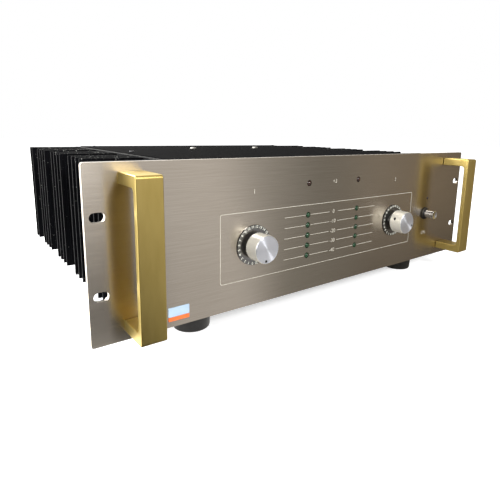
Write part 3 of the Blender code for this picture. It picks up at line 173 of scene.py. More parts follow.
bpy.ops.mesh.primitive_plane_add(size=FLOOR_SIZE, location=(0, 0, 0))
floor = bpy.context.object
floor.name = "floor"
floor_paint = bpy.data.materials.new("white_floor")
floor_paint.use_nodes = True
tree = floor_paint.node_tree
tree.nodes.clear()
where = add_node(tree, "TexCoord")
path = add_node(tree, "LightPath")
matt = add_node(tree, "BsdfDiffuse", values={"Color": linear("#F4F4F4")})
glow_strength = add_node(tree, "Math", values={1: FLOOR_GLOW}, links={
    0: path.outputs["Is Camera Ray"],
}, operation="MULTIPLY")
glow = add_node(tree, "Emission", links={"Strength": glow_strength.outputs[0]})
both = add_node(tree, "AddShader", links={0: matt.outputs[0], 1: glow.outputs[0]})
from_centre = add_node(tree, "VectorMath", values={1: FLOOR_CENTRE}, links={
    0: where.outputs["Object"],
}, operation="SUBTRACT")
distance = add_node(tree, "VectorMath", links={
    0: from_centre.outputs["Vector"],
}, operation="LENGTH")
farness = add_node(tree, "MapRange", values={
    "From Min": FLOOR_NEAR, "From Max": FLOOR_FAR,
}, links={"Value": distance.outputs["Value"]})
near_to_far = add_node(tree, "MixRGB", links={
    "Fac": farness.outputs["Result"],
    "Color1": shade_round(tree, from_centre.outputs["Vector"], FLOOR_SHADES),
    "Color2": shade_round(tree, from_centre.outputs["Vector"], ROOM_SHADES),
})
apart = add_node(tree, "SeparateXYZ", links={"Vector": where.outputs["Object"]})
on_left = add_node(tree, "MapRange", values={
    "From Min": FLOOR_LEFT_FROM, "From Max": FLOOR_LEFT_TO,
}, links={"Value": apart.outputs["X"]})
behind = add_node(tree, "MapRange", values={
    "From Min": FLOOR_BEHIND_FROM, "From Max": FLOOR_BEHIND_TO,
}, links={"Value": apart.outputs["Y"]})
left_and_behind = add_node(tree, "Math", links={
    0: on_left.outputs["Result"], 1: behind.outputs["Result"],
}, operation="MULTIPLY")
all_of_floor = add_node(tree, "MixRGB", values={"Color2": linear("#F4F3EF")}, links={
    "Fac": left_and_behind.outputs[0], "Color1": near_to_far.outputs["Color"],
})
mirrored = add_node(tree, "Emission", values={"Strength": ROOM_BRIGHTEST}, links={
    "Color": all_of_floor.outputs["Color"],
})
by_metal = add_node(tree, "MixShader", links={
    "Fac": path.outputs["Is Glossy Ray"], 1: both.outputs[0], 2: mirrored.outputs[0],
})
add_node(tree, "OutputMaterial", links={"Surface": by_metal.outputs[0]})
floor.data.materials.append(floor_paint)


def add_lamp(name, place, target, size, power):
    """A soft rectangular lamp that faces a target."""
    data = bpy.data.lights.new(name, "AREA")
    data.shape = "RECTANGLE"
    data.size, data.size_y = size
    data.energy = power
    lamp = bpy.data.objects.new(name, data)
    bpy.context.scene.collection.objects.link(lamp)
    lamp.location = place
    away = Vector(place) - Vector(target)
    lamp.rotation_mode = "QUATERNION"
    lamp.rotation_quaternion = away.to_track_quat("Z", "Y")


add_lamp("key", KEY_PLACE, (0, 0, 0.08), KEY_SIZE, KEY_POWER)
add_lamp("front", FRONT_PLACE, (0, 0, 0.08), FRONT_SIZE, FRONT_POWER)
add_lamp("left", LEFT_PLACE, (0, 0, 0.08), LEFT_SIZE, LEFT_POWER)


# Front panel: 3.2 mm aluminium plate to the rack standard, sawn, its front brushed
# from end to end and anodised a pale champagne. The slots and holes are punched,
# and each slot's mouth is countersunk.
PANEL_CORNER_R = 2.0 * MM
PANEL_EDGE = 0.35 * MM
RACK_SLOT_INSET = 8.75 * MM
RACK_SLOT_PITCH = 57.15 * MM
RACK_SLOT_L = 10.8 * MM
RACK_SLOT_H = 7.0 * MM
SLOT_SINK = 0.4 * MM
LIGHT_HOLE_R = 2.9 * MM
CONTROL_HOLE_R = 5.05 * MM
PILOT_HOLE_R = 1.7 * MM
SWITCH_HOLE_R = 6.7 * MM
HANDLE_HOLE_R = 2.6 * MM
LEVEL_PITCH = 10.16 * MM
LEVEL_COUNT = 5
OVERLOAD_DROP = 25.4 * MM
PANEL_PALE = "#D1C9BE"
PANEL_DEEP = "#C4BBAF"
GRAIN_LENGTH = 26 * MM
GRAIN_SPACING = 0.5 * MM
CLOUD_SIZE = 120 * MM
PANEL_LOW, PANEL_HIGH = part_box("front_panel")
FACE_Y = PANEL_LOW.y
CONTROL_LOW, CONTROL_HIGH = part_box("scale_disc_right")
CONTROL_X = (CONTROL_LOW.x + CONTROL_HIGH.x) / 2
CONTROL_Z = (CONTROL_LOW.z + CONTROL_HIGH.z) / 2
BUTTON_LOW, BUTTON_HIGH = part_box("power_button")
SWITCH_X = (BUTTON_LOW.x + BUTTON_HIGH.x) / 2
SWITCH_Z = (BUTTON_LOW.z + BUTTON_HIGH.z) / 2
PILOT_LOW, PILOT_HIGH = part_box("power_led")
PILOT_X = (PILOT_LOW.x + PILOT_HIGH.x) / 2
PILOT_Z = (PILOT_LOW.z + PILOT_HIGH.z) / 2
HANDLE_LOW, HANDLE_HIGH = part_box("handle_right")
HANDLE_X = (HANDLE_LOW.x + HANDLE_HIGH.x) / 2
LIGHT_X = 35.35 * MM
LEVEL_ZS = [CONTROL_Z + LEVEL_PITCH * (LEVEL_COUNT // 2 - row) for row in range(LEVEL_COUNT)]
OVERLOAD_Z = PANEL_HIGH.z - OVERLOAD_DROP
HANDLE_ARM_T = 8.7 * MM
SIDES = (("left", -1), ("right", 1))
FRONTWARD = Matrix.Rotation(math.radians(90), 4, "X")
BACKWARD = Matrix.Rotation(math.radians(180), 4, "Z") @ FRONTWARD
UPWARD = Matrix.Identity(4)
DOWNWARD = Matrix.Rotation(math.radians(180), 4, "X")


def only(piece):
    """Make one piece the only one selected, and the active one."""
    bpy.ops.object.select_all(action="DESELECT")
    piece.select_set(True)
    bpy.context.view_layer.objects.active = piece


def start(name, place=UPWARD):
    """Name the primitive that was just added, and put its place into its mesh."""
    piece = bpy.context.object
    piece.name = name
    piece.data.name = name
    bpy.context.view_layer.update()
    piece.matrix_world = place @ piece.matrix_world
    only(piece)
    bpy.ops.object.transform_apply(location=True, rotation=True, scale=True)
    return piece


def add_box(name, low, high):
    """A box between two opposite corners."""
    low, high = Vector(low), Vector(high)
    bpy.ops.mesh.primitive_cube_add(size=1, location=(low + high) / 2, scale=high - low)
    return start(name)


def add_rod(name, place, radius, top, bottom, sides=48):
    """A cylinder along a place's own Z, between two heights."""
    bpy.ops.mesh.primitive_cylinder_add(
        vertices=sides, radius=radius, depth=top - bottom, location=(0, 0, (top + bottom) / 2)
    )
    return start(name, place)


def choose(piece, kind, wanted):
    """Enter edit mode with only those vertices, edges or faces chosen whose points pass a test."""
    only(piece)
    bpy.ops.object.mode_set(mode="EDIT")
    bpy.ops.mesh.select_mode(type=kind)
    bpy.ops.mesh.select_all(action="DESELECT")
    bpy.ops.object.mode_set(mode="OBJECT")
    points = piece.data.vertices
    if kind == "VERT":
        for point in points:
            point.select = wanted([point.co])
    else:
        for part in piece.data.edges if kind == "EDGE" else piece.data.polygons:
            part.select = wanted([points[index].co for index in part.vertices])
    bpy.ops.object.mode_set(mode="EDIT")


def done_editing():
    bpy.ops.mesh.select_all(action="DESELECT")
    bpy.ops.object.mode_set(mode="OBJECT")


def bevel_where(piece, wanted, width, segments=4):
    """Round the edges of a piece that pass a test."""
    choose(piece, "EDGE", wanted)
    bpy.ops.mesh.bevel(offset=width, segments=segments, affect="EDGES")
    done_editing()


def modify(piece, kind, **settings):
    """Put a modifier on a piece and apply it."""
    change = piece.modifiers.new(kind.title(), kind)
    for name, value in settings.items():
        setattr(change, name, value)
    only(piece)
    bpy.ops.object.modifier_apply(modifier=change.name)


def ease_edges(piece, width, segments=2, angle=40):
    modify(piece, "BEVEL", width=width, segments=segments, limit_method="ANGLE",
           angle_limit=math.radians(angle))


def combine(piece, operation, others):
    """Cut other shapes from a piece, or join them on, and use them up."""
    for other in others:
        modify(piece, "BOOLEAN", operation=operation, solver="EXACT", object=other)
        bpy.data.objects.remove(other, do_unlink=True)


def merge(name, pieces):
    """Make several shapes one piece, without cutting them."""
    only(pieces[0])
    for other in pieces[1:]:
        other.select_set(True)
    bpy.ops.object.join()
    pieces[0].name = name
    pieces[0].data.name = name
    return pieces[0]


def new_material(name, **values):
    """A material with one Principled shader, given its sockets' own values."""
    material = bpy.data.materials.new(name)
    material.use_nodes = True
    shader = material.node_tree.nodes["Principled BSDF"]
    for socket, value in values.items():
        shader.inputs[socket.replace("_", " ")].default_value = value
    return material, shader


def object_places(tree, size, origin=(0, 0, 0)):
    """Object coordinates that grow by one in each given size, from an origin."""
    where = add_node(tree, "TexCoord")
    scale = [1 / length for length in size]
    shift = [-at * times for at, times in zip(origin, scale)]
    return add_node(tree, "Mapping", values={"Scale": scale, "Location": shift}, links={
        "Vector": where.outputs["Object"],
    }).outputs["Vector"]


def noise(tree, size, detail=2.0, origin=(0, 0, 0)):
    """Uneven pattern whose features are about as large as the given sizes."""
    return add_node(tree, "TexNoise", values={"Scale": 1.0, "Detail": detail}, links={
        "Vector": object_places(tree, size, origin),
    }).outputs["Fac"]


def blend_colours(tree, amount, first, second, low=0.3, high=0.7):
    """Two colours, mixed as a pattern rises from a low value to a high one."""
    ramp = add_node(tree, "ValToRGB", links={"Fac": amount})
    ramp.color_ramp.elements[0].position = low
    ramp.color_ramp.elements[0].color = linear(first)
    ramp.color_ramp.elements[1].position = high
    ramp.color_ramp.elements[1].color = linear(second)
    return ramp.outputs["Color"]


def spread(tree, amount, low, high):
    """A pattern's values, spread between two others."""
    return add_node(tree, "MapRange", values={"To Min": low, "To Max": high}, links={
        "Value": amount,
    }).outputs["Result"]


def raise_by(tree, shader, amount, height, strength=1.0):
    """Let a pattern stand out of the surface by a height."""
    bump = add_node(tree, "Bump", values={"Strength": strength, "Distance": height}, links={
        "Height": amount,
    })
    tree.links.new(bump.outputs["Normal"], shader.inputs["Normal"])


def finish(piece, material, body, slot, *stands_for, angle=35):
    """Shade a piece, give it its finish and let it ride on its body in place of CAD nodes."""
    only(piece)
    bpy.ops.object.shade_smooth_by_angle(angle=math.radians(angle))
    modify(piece, "WEIGHTED_NORMAL", weight=100, keep_sharp=True)
    piece.data.materials.clear()
    piece.data.materials.append(material)
    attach(piece, body)
    if stands_for:
        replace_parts(piece, *stands_for)
    return piece


def dress(material, slot, *nodes):
    """Give CAD nodes whose shape stays their finish."""
    for name in nodes:
        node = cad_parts[name]
        node.data.materials.clear()
        node.data.materials.append(material)


def brushed_aluminium(name, pale, deep, grain, roughness, streak_towards):
    """Brushed and anodised aluminium: long fine scratches that smear each
    reflection across themselves, and slow clouds of colour from the dye."""
    material, shader = new_material(name, Metallic=1.0, Anisotropic=0.88)
    tree = material.node_tree
    scratches = noise(tree, grain, 3.0)
    clouds = noise(tree, (CLOUD_SIZE,) * 3, 1.0)
    mixed = add_node(tree, "Mix", values={"Factor": 0.35}, links={
        "A": scratches, "B": clouds,
    }, data_type="FLOAT")
    tree.links.new(blend_colours(tree, mixed.outputs[0], deep, pale), shader.inputs["Base Color"])
    tree.links.new(spread(tree, scratches, *roughness), shader.inputs["Roughness"])
    along = add_node(tree, "CombineXYZ", values=dict(zip("XYZ", streak_towards)))
    tree.links.new(along.outputs[0], shader.inputs["Tangent"])
    raise_by(tree, shader, scratches, 0.02 * MM, 0.07)
    return material


def rack_slot_cutter(x, z):
    """A slot with half-round ends through the panel, and its countersink in front."""
    shapes = []
    for low_r, high_r, depth, y in (
        (RACK_SLOT_H / 2, RACK_SLOT_H / 2, 20 * MM, FACE_Y),
        (RACK_SLOT_H / 2 - SLOT_SINK, RACK_SLOT_H / 2 + SLOT_SINK, 2 * SLOT_SINK, FACE_Y),
    ):
        bpy.ops.mesh.primitive_cone_add(
            vertices=48, radius1=low_r, radius2=high_r, depth=depth,
            location=(x, y, z), rotation=(math.radians(90), 0, 0),
        )
        shape = start("slot")
        for side in (-1, 1):
            choose(shape, "VERT", lambda p: side * (p[0].x - x) > 0.01 * MM)
            shift = side * (RACK_SLOT_L - RACK_SLOT_H) / 2
            bpy.ops.transform.translate(value=(shift, 0, 0))
            done_editing()
        shapes.append(shape)
    return shapes


panel = add_box("panel_plate", PANEL_LOW, PANEL_HIGH)
bevel_where(panel, lambda p: abs(p[0].y - p[1].y) > MM, PANEL_CORNER_R, 6)
for _, side in SIDES:
    for end in (-1, 1):
        slot_x = side * (PANEL_HIGH.x - RACK_SLOT_INSET)
        slot_z = (PANEL_LOW.z + PANEL_HIGH.z + end * RACK_SLOT_PITCH) / 2
        combine(panel, "DIFFERENCE", rack_slot_cutter(slot_x, slot_z))
holes = [(PILOT_X, PILOT_Z, PILOT_HOLE_R), (SWITCH_X, SWITCH_Z, SWITCH_HOLE_R)]
for _, side in SIDES:
    holes += [(side * LIGHT_X, z, LIGHT_HOLE_R) for z in [OVERLOAD_Z, *LEVEL_ZS]]
    holes.append((side * CONTROL_X, CONTROL_Z, CONTROL_HOLE_R))
    for z in (HANDLE_LOW.z + HANDLE_ARM_T / 2, HANDLE_HIGH.z - HANDLE_ARM_T / 2):
        holes.append((side * HANDLE_X, z, HANDLE_HOLE_R))
drills = [
    add_rod("drill", Matrix.Translation((x, FACE_Y, z)) @ FRONTWARD, radius, 10 * MM, -10 * MM)
    for x, z, radius in holes
]
combine(panel, "DIFFERENCE", [merge("drills", drills)])
ease_edges(panel, PANEL_EDGE)
panel_finish = brushed_aluminium(
    "brushed_champagne_aluminium", PANEL_PALE, PANEL_DEEP,
    (GRAIN_LENGTH, GRAIN_SPACING, GRAIN_SPACING), (0.23, 0.28), (0, 0, 1),
)
finish(panel, panel_finish, "chassis", "panel_aluminium", "front_panel")


# Printing on the panel: cream screen ink. A thin frame runs round the controls, a
# line passes each row of lights and plain numbers stand between and above them.
INK_T = 0.04 * MM
INK_COLOUR = "#D8D4C7"
FRAME_HALF_W = 134.8 * MM
FRAME_LOW_Z, FRAME_HIGH_Z = 40.6 * MM, 101.9 * MM
FRAME_CORNER_R = 1.9 * MM
FRAME_LINE = 0.38 * MM
LEVEL_LINE = 0.34 * MM
LEVEL_LINE_INNER = 6.0 * MM
LEVEL_LINE_OUTER = 64.8 * MM
LIGHT_MARGIN = 3.6 * MM
NUMBER_SIZE = 5.7 * MM
NUMBER_THINNER = -0.07 * MM
CHANNEL_Z = PANEL_LOW.z + 103.5 * MM
SWITCH_WORD_Z = PANEL_LOW.z + 32.6 * MM


def add_words(name, words, place, size, bolder=0.0):
    """Printed characters, centred on a place and facing along its own Z."""
    bpy.ops.object.text_add()
    printed = bpy.context.object
    printed.data.body = words
    printed.data.size = size
    printed.data.align_x = "CENTER"
    printed.data.align_y = "CENTER"
    printed.data.extrude = INK_T / 2
    printed.data.offset = bolder
    printed.data.resolution_u = 3
    only(printed)
    bpy.ops.object.convert(target="MESH")
    return start(name, place @ Matrix.Translation((0, 0, INK_T / 2)))


def on_front(x, z):
    """A place on the panel's face that looks to the front."""
    return Matrix.Translation((x, FACE_Y, z)) @ FRONTWARD


ink, shader = new_material("cream_screen_ink", Roughness=0.45)
tree = ink.node_tree
wear = noise(tree, (1.5 * MM,) * 3, 3.0)
tree.links.new(blend_colours(tree, wear, "#C9C1B0", INK_COLOUR), shader.inputs["Base Color"])

bpy.ops.mesh.primitive_plane_add(
    size=1, location=(0, FACE_Y - INK_T, (FRAME_LOW_Z + FRAME_HIGH_Z) / 2),
    rotation=(math.radians(90), 0, 0),
)
bpy.context.object.scale = (2 * FRAME_HALF_W, FRAME_HIGH_Z - FRAME_LOW_Z, 1)
frame_print = start("frame_print")
choose(frame_print, "VERT", lambda p: True)
bpy.ops.mesh.bevel(offset=FRAME_CORNER_R, segments=8, affect="VERTICES")
bpy.ops.mesh.select_all(action="SELECT")
bpy.ops.mesh.inset(thickness=FRAME_LINE)
bpy.ops.mesh.delete(type="FACE")
bpy.ops.object.mode_set(mode="OBJECT")
modify(frame_print, "SOLIDIFY", thickness=INK_T, offset=-1)
finish(frame_print, ink, "chassis", "panel_aluminium")

lines = []
for z in LEVEL_ZS:
    for _, side in SIDES:
        for inner, outer in (
            (LEVEL_LINE_INNER, LIGHT_X - LIGHT_MARGIN),
            (LIGHT_X + LIGHT_MARGIN, LEVEL_LINE_OUTER),
        ):
            xs = sorted((side * inner, side * outer))
            low = (xs[0], FACE_Y - INK_T, z - LEVEL_LINE / 2)
            lines.append(add_box("line", low, (xs[1], FACE_Y, z + LEVEL_LINE / 2)))
finish(merge("level_line_print", lines), ink, "chassis", "panel_aluminium")
numbers = [
    add_words("number", words, on_front(0, z), NUMBER_SIZE, NUMBER_THINNER)
    for words, z in zip(("0", "-10", "-20", "-30", "-40"), LEVEL_ZS)
]
numbers.append(add_words("number", "+3", on_front(0, OVERLOAD_Z), NUMBER_SIZE, NUMBER_THINNER))
for words, (_, side) in zip("12", SIDES):
    place = on_front(side * CONTROL_X, CHANNEL_Z)
    numbers.append(add_words("number", words, place, NUMBER_SIZE, NUMBER_THINNER))
place = on_front(SWITCH_X, SWITCH_WORD_Z)
numbers.append(add_words("number", "ON", place, NUMBER_SIZE, NUMBER_THINNER))
finish(merge("number_print", numbers), ink, "chassis", "panel_aluminium")


# Badge: two bare enamelled plates, glued low on the panel beside the left handle.
# A pale blue plate stands on a narrow orange one.
BADGE_LEFT_X = -182.5 * MM
BADGE_RIGHT_X = -164.3 * MM
BADGE_LOW_Z = PANEL_LOW.z + 5.0 * MM
BADGE_SPLIT_Z = PANEL_LOW.z + 8.4 * MM
BADGE_HIGH_Z = PANEL_LOW.z + 16.4 * MM
BADGE_T = 0.5 * MM


def enamel(name, colour, shadow):
    """Baked enamel: a hard gloss over an even colour, hardly uneven in the light."""
    material, shader = new_material(name, Roughness=0.22, Coat_Weight=0.3, Coat_Roughness=0.1)
    tree = material.node_tree
    clouds = noise(tree, (6 * MM,) * 3, 2.0)
    tree.links.new(blend_colours(tree, clouds, shadow, colour), shader.inputs["Base Color"])
    return material


for name, low_z, high_z, colours in (
    ("badge_upper_plate", BADGE_SPLIT_Z + 0.2 * MM, BADGE_HIGH_Z, ("#B9D0E6", "#AFC8E0")),
    ("badge_lower_plate", BADGE_LOW_Z, BADGE_SPLIT_Z, ("#EE7B3E", "#E67236")),
):
    low = (BADGE_LEFT_X, FACE_Y - BADGE_T, low_z)
    plate = add_box(name, low, (BADGE_RIGHT_X, FACE_Y, high_z))
    bevel_where(plate, lambda p: abs(p[0].y - p[1].y) > 0.1 * MM, 0.5 * MM, 4)
    ease_edges(plate, 0.12 * MM)
    finish(plate, enamel("enamel_" + name, *colours), "chassis", "light_plastic")


# Handles: square aluminium bars with an arm milled at each end, blasted to a satin
# and anodised gold. Screws from behind the panel hold them.
HANDLE_BAR_T = 5.1 * MM
HANDLE_INNER_R = 3.6 * MM
HANDLE_OUTER_R = 2.4 * MM
HANDLE_EDGE = 0.7 * MM
GOLD_PALE = "#DAC379"
GOLD_DEEP = "#CCB46A"

gold, shader = new_material("gold_anodised_aluminium", Metallic=0.97)
tree = gold.node_tree
clouds = noise(tree, (9 * MM, 9 * MM, 40 * MM), 3.0)
tree.links.new(blend_colours(tree, clouds, GOLD_DEEP, GOLD_PALE), shader.inputs["Base Color"])
blasting = noise(tree, (0.5 * MM, 0.5 * MM, 1.6 * MM), 2.0)
tree.links.new(spread(tree, blasting, 0.36, 0.48), shader.inputs["Roughness"])
raise_by(tree, shader, blasting, 0.02 * MM, 0.4)
for word, _ in SIDES:
    low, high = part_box("handle_" + word)
    handle = add_box("pull_handle_" + word, low, high)
    gap_low = (low.x - 5 * MM, low.y + HANDLE_BAR_T, low.z + HANDLE_ARM_T)
    gap = add_box("gap", gap_low, (high.x + 5 * MM, high.y + 5 * MM, high.z - HANDLE_ARM_T))
    combine(handle, "DIFFERENCE", [gap])
    crosswise = lambda p: abs(p[0].x - p[1].x) > MM
    bevel_where(handle, lambda p: crosswise(p) and p[0].y < low.y + MM, HANDLE_OUTER_R, 8)
    bevel_where(
        handle,
        lambda p: crosswise(p) and abs(p[0].y - low.y - HANDLE_BAR_T) < 0.1 * MM
        and low.z + MM < p[0].z < high.z - MM,
        HANDLE_INNER_R, 8,
    )
    ease_edges(handle, HANDLE_EDGE, 3, 50)
    finish(handle, gold, "chassis", "gold_aluminium", "handle_" + word)

zinc, shader = new_material("zinc_plated_steel", Metallic=1.0)
tree = zinc.node_tree
spangle = noise(tree, (3 * MM,) * 3, 3.0)
tree.links.new(blend_colours(tree, spangle, "#9C9B96", "#B9B8B2"), shader.inputs["Base Color"])
tree.links.new(spread(tree, spangle, 0.28, 0.45), shader.inputs["Roughness"])
dress(zinc, "plated_steel", "handle_screw_left_lower", "handle_screw_left_upper",
      "handle_screw_right_lower", "handle_screw_right_upper")


# Scale discs: black plastic discs with a bare gloss, one behind each knob. Their
# twenty-four positions are numbered in white round the rim.
DISC_R = 18.1 * MM
DISC_HOLE_R = 5.2 * MM
DISC_BACK = 0.3 * MM
DISC_FRONT = 1.1 * MM
DISC_EDGE = 0.15 * MM
CONTROL_TRAVEL = 345.0
CONTROL_POSITIONS = 24
SCALE_NUMBER_R = 16.5 * MM
SCALE_NUMBER_SIZE = 3.2 * MM
POINT_R = 0.02 * MM


def turned(name, place, rings, sides=48, closed=False):
    """A shape turned about a place's own Z, through rings of given radius and height.
    Its ends are filled, or joined to each other if it is closed."""
    rings = [(max(radius, POINT_R), height) for radius, height in rings]
    radius, height = rings[0]
    bpy.ops.mesh.primitive_circle_add(vertices=sides, radius=radius)
    bpy.ops.object.mode_set(mode="EDIT")
    bpy.ops.mesh.select_all(action="SELECT")
    bpy.ops.transform.translate(value=(0, 0, height))
    for next_radius, next_height in rings[1:]:
        bpy.ops.mesh.extrude_region_move(
            TRANSFORM_OT_translate={"value": (0, 0, next_height - height)}
        )
        grown = next_radius / radius
        bpy.ops.transform.resize(value=(grown, grown, 1), center_override=(0, 0, next_height))
        radius, height = next_radius, next_height
    bpy.ops.mesh.select_mode(type="EDGE")
    bpy.ops.mesh.select_all(action="DESELECT")
    bpy.ops.mesh.select_non_manifold()
    if closed:
        bpy.ops.mesh.bridge_edge_loops()
    else:
        bpy.ops.mesh.fill_holes(sides=0)
    bpy.ops.mesh.select_all(action="SELECT")
    bpy.ops.mesh.normals_make_consistent(inside=False)
    bpy.ops.object.mode_set(mode="OBJECT")
    return start(name, place)


def copy_piece(piece, name, change):
    """A copy of a piece, with its own mesh, moved by a matrix."""
    copy = piece.copy()
    copy.data = piece.data.copy()
    bpy.context.scene.collection.objects.link(copy)
    copy.name = name
    copy.data.name = name
    copy.data.transform(change)
    return copy


gloss_black, shader = new_material(
    "gloss_black_plastic", IOR=1.8, Coat_Weight=1.0, Coat_IOR=2.4, Coat_Roughness=0.12
)
tree = gloss_black.node_tree
smears = noise(tree, (5 * MM,) * 3, 2.0)
tree.links.new(blend_colours(tree, smears, "#101011", "#19191B"), shader.inputs["Base Color"])
tree.links.new(spread(tree, smears, 0.16, 0.26), shader.inputs["Roughness"])
white_ink, shader = new_material("white_numeral_ink", Roughness=0.4)
tree = white_ink.node_tree
wear = noise(tree, (0.5 * MM,) * 3, 2.0)
tree.links.new(blend_colours(tree, wear, "#D9DACB", "#F3F3E6"), shader.inputs["Base Color"])
CONTROLS = {
    word: Matrix.Translation((side * CONTROL_X, FACE_Y, CONTROL_Z)) @ FRONTWARD
    for word, side in SIDES
}
for word, place in CONTROLS.items():
    disc = turned("scale_plate_" + word, place, (
        (DISC_HOLE_R, DISC_BACK), (DISC_R - DISC_EDGE, DISC_BACK),
        (DISC_R, DISC_BACK + DISC_EDGE), (DISC_R, DISC_FRONT - DISC_EDGE),
        (DISC_R - DISC_EDGE, DISC_FRONT), (DISC_HOLE_R, DISC_FRONT),
    ), 96, closed=True)
    finish(disc, gloss_black, "chassis", "black_plastic", "scale_disc_" + word)
    numerals = []
    for number in range(CONTROL_POSITIONS):
        angle = number * CONTROL_TRAVEL / (CONTROL_POSITIONS - 1) - CONTROL_TRAVEL / 2
        seat = Matrix.Translation((0, SCALE_NUMBER_R, DISC_FRONT))
        turn = Matrix.Rotation(math.radians(-angle), 4, "Z")
        numerals.append(add_words(
            "numeral", str(number), place @ turn @ seat, SCALE_NUMBER_SIZE, 0.06 * MM
        ))
    finish(merge("scale_numerals_" + word, numerals), white_ink, "chassis", "black_plastic")


# Level controls behind the panel: sealed attenuators in plated cans. A hexagon nut
# clamps each bush to the panel, and its shaft turns in the bush.
dress(zinc, "plated_steel", *(
    part + word for word, _ in SIDES
    for part in ("attenuator_", "attenuator_nut_", "attenuator_shaft_")
))


# Knobs: aluminium turned from bar, the side finely knurled and the face spun, held
# on the shaft by a socket screw. A dark dot on the face is the pointer.
KNOB_R = 12.5 * MM
KNOB_BACK = 5.0 * MM
KNOB_FRONT = 20.0 * MM
KNOB_CHAMFER = 0.45 * MM
KNOB_BORE_R = 3.4 * MM
KNOB_BORE_END = 4.0 * MM
KNURL_COLUMNS = 72
KNURL_ROWS = 15
KNURL_DEPTH = 0.42 * MM
KNURL_MARGIN = 0.7 * MM
DOT_R = 1.2 * MM
DOT_DEPTH = 0.4 * MM
DOT_FROM_EDGE = 2.4 * MM
GRUB_HOLE_R = 1.7 * MM
GRUB_R = 1.55 * MM
GRUB_TOP = 11.7 * MM
GRUB_BOTTOM = 4.0 * MM
GRUB_SOCKET_R = 0.85 * MM
GRUB_FROM_BACK = 6.0 * MM
SETTINGS = {"left": 0.0, "right": 285.0}
SPUN_RING = 0.35 * MM


def spun_metal(name, pale, deep, roughness, centre, across):
    """Bright metal with turning marks round an axis that runs front to back."""
    material, shader = new_material(name, Metallic=0.88, Anisotropic=across)
    tree = material.node_tree
    marks = noise(tree, (SPUN_RING,) * 3, 2.0, centre)
    tree.links.new(blend_colours(tree, marks, deep, pale), shader.inputs["Base Color"])
    tree.links.new(spread(tree, marks, *roughness), shader.inputs["Roughness"])
    outward = object_places(tree, (1, 1, 1), centre)
    flat = add_node(tree, "VectorMath", values={1: (1, 0, 1)}, links={
        0: outward,
    }, operation="MULTIPLY")
    in_room = add_node(tree, "VectorTransform", links={
        "Vector": flat.outputs["Vector"],
    }, vector_type="VECTOR", convert_from="OBJECT", convert_to="WORLD")
    tree.links.new(in_room.outputs["Vector"], shader.inputs["Tangent"])
    return material


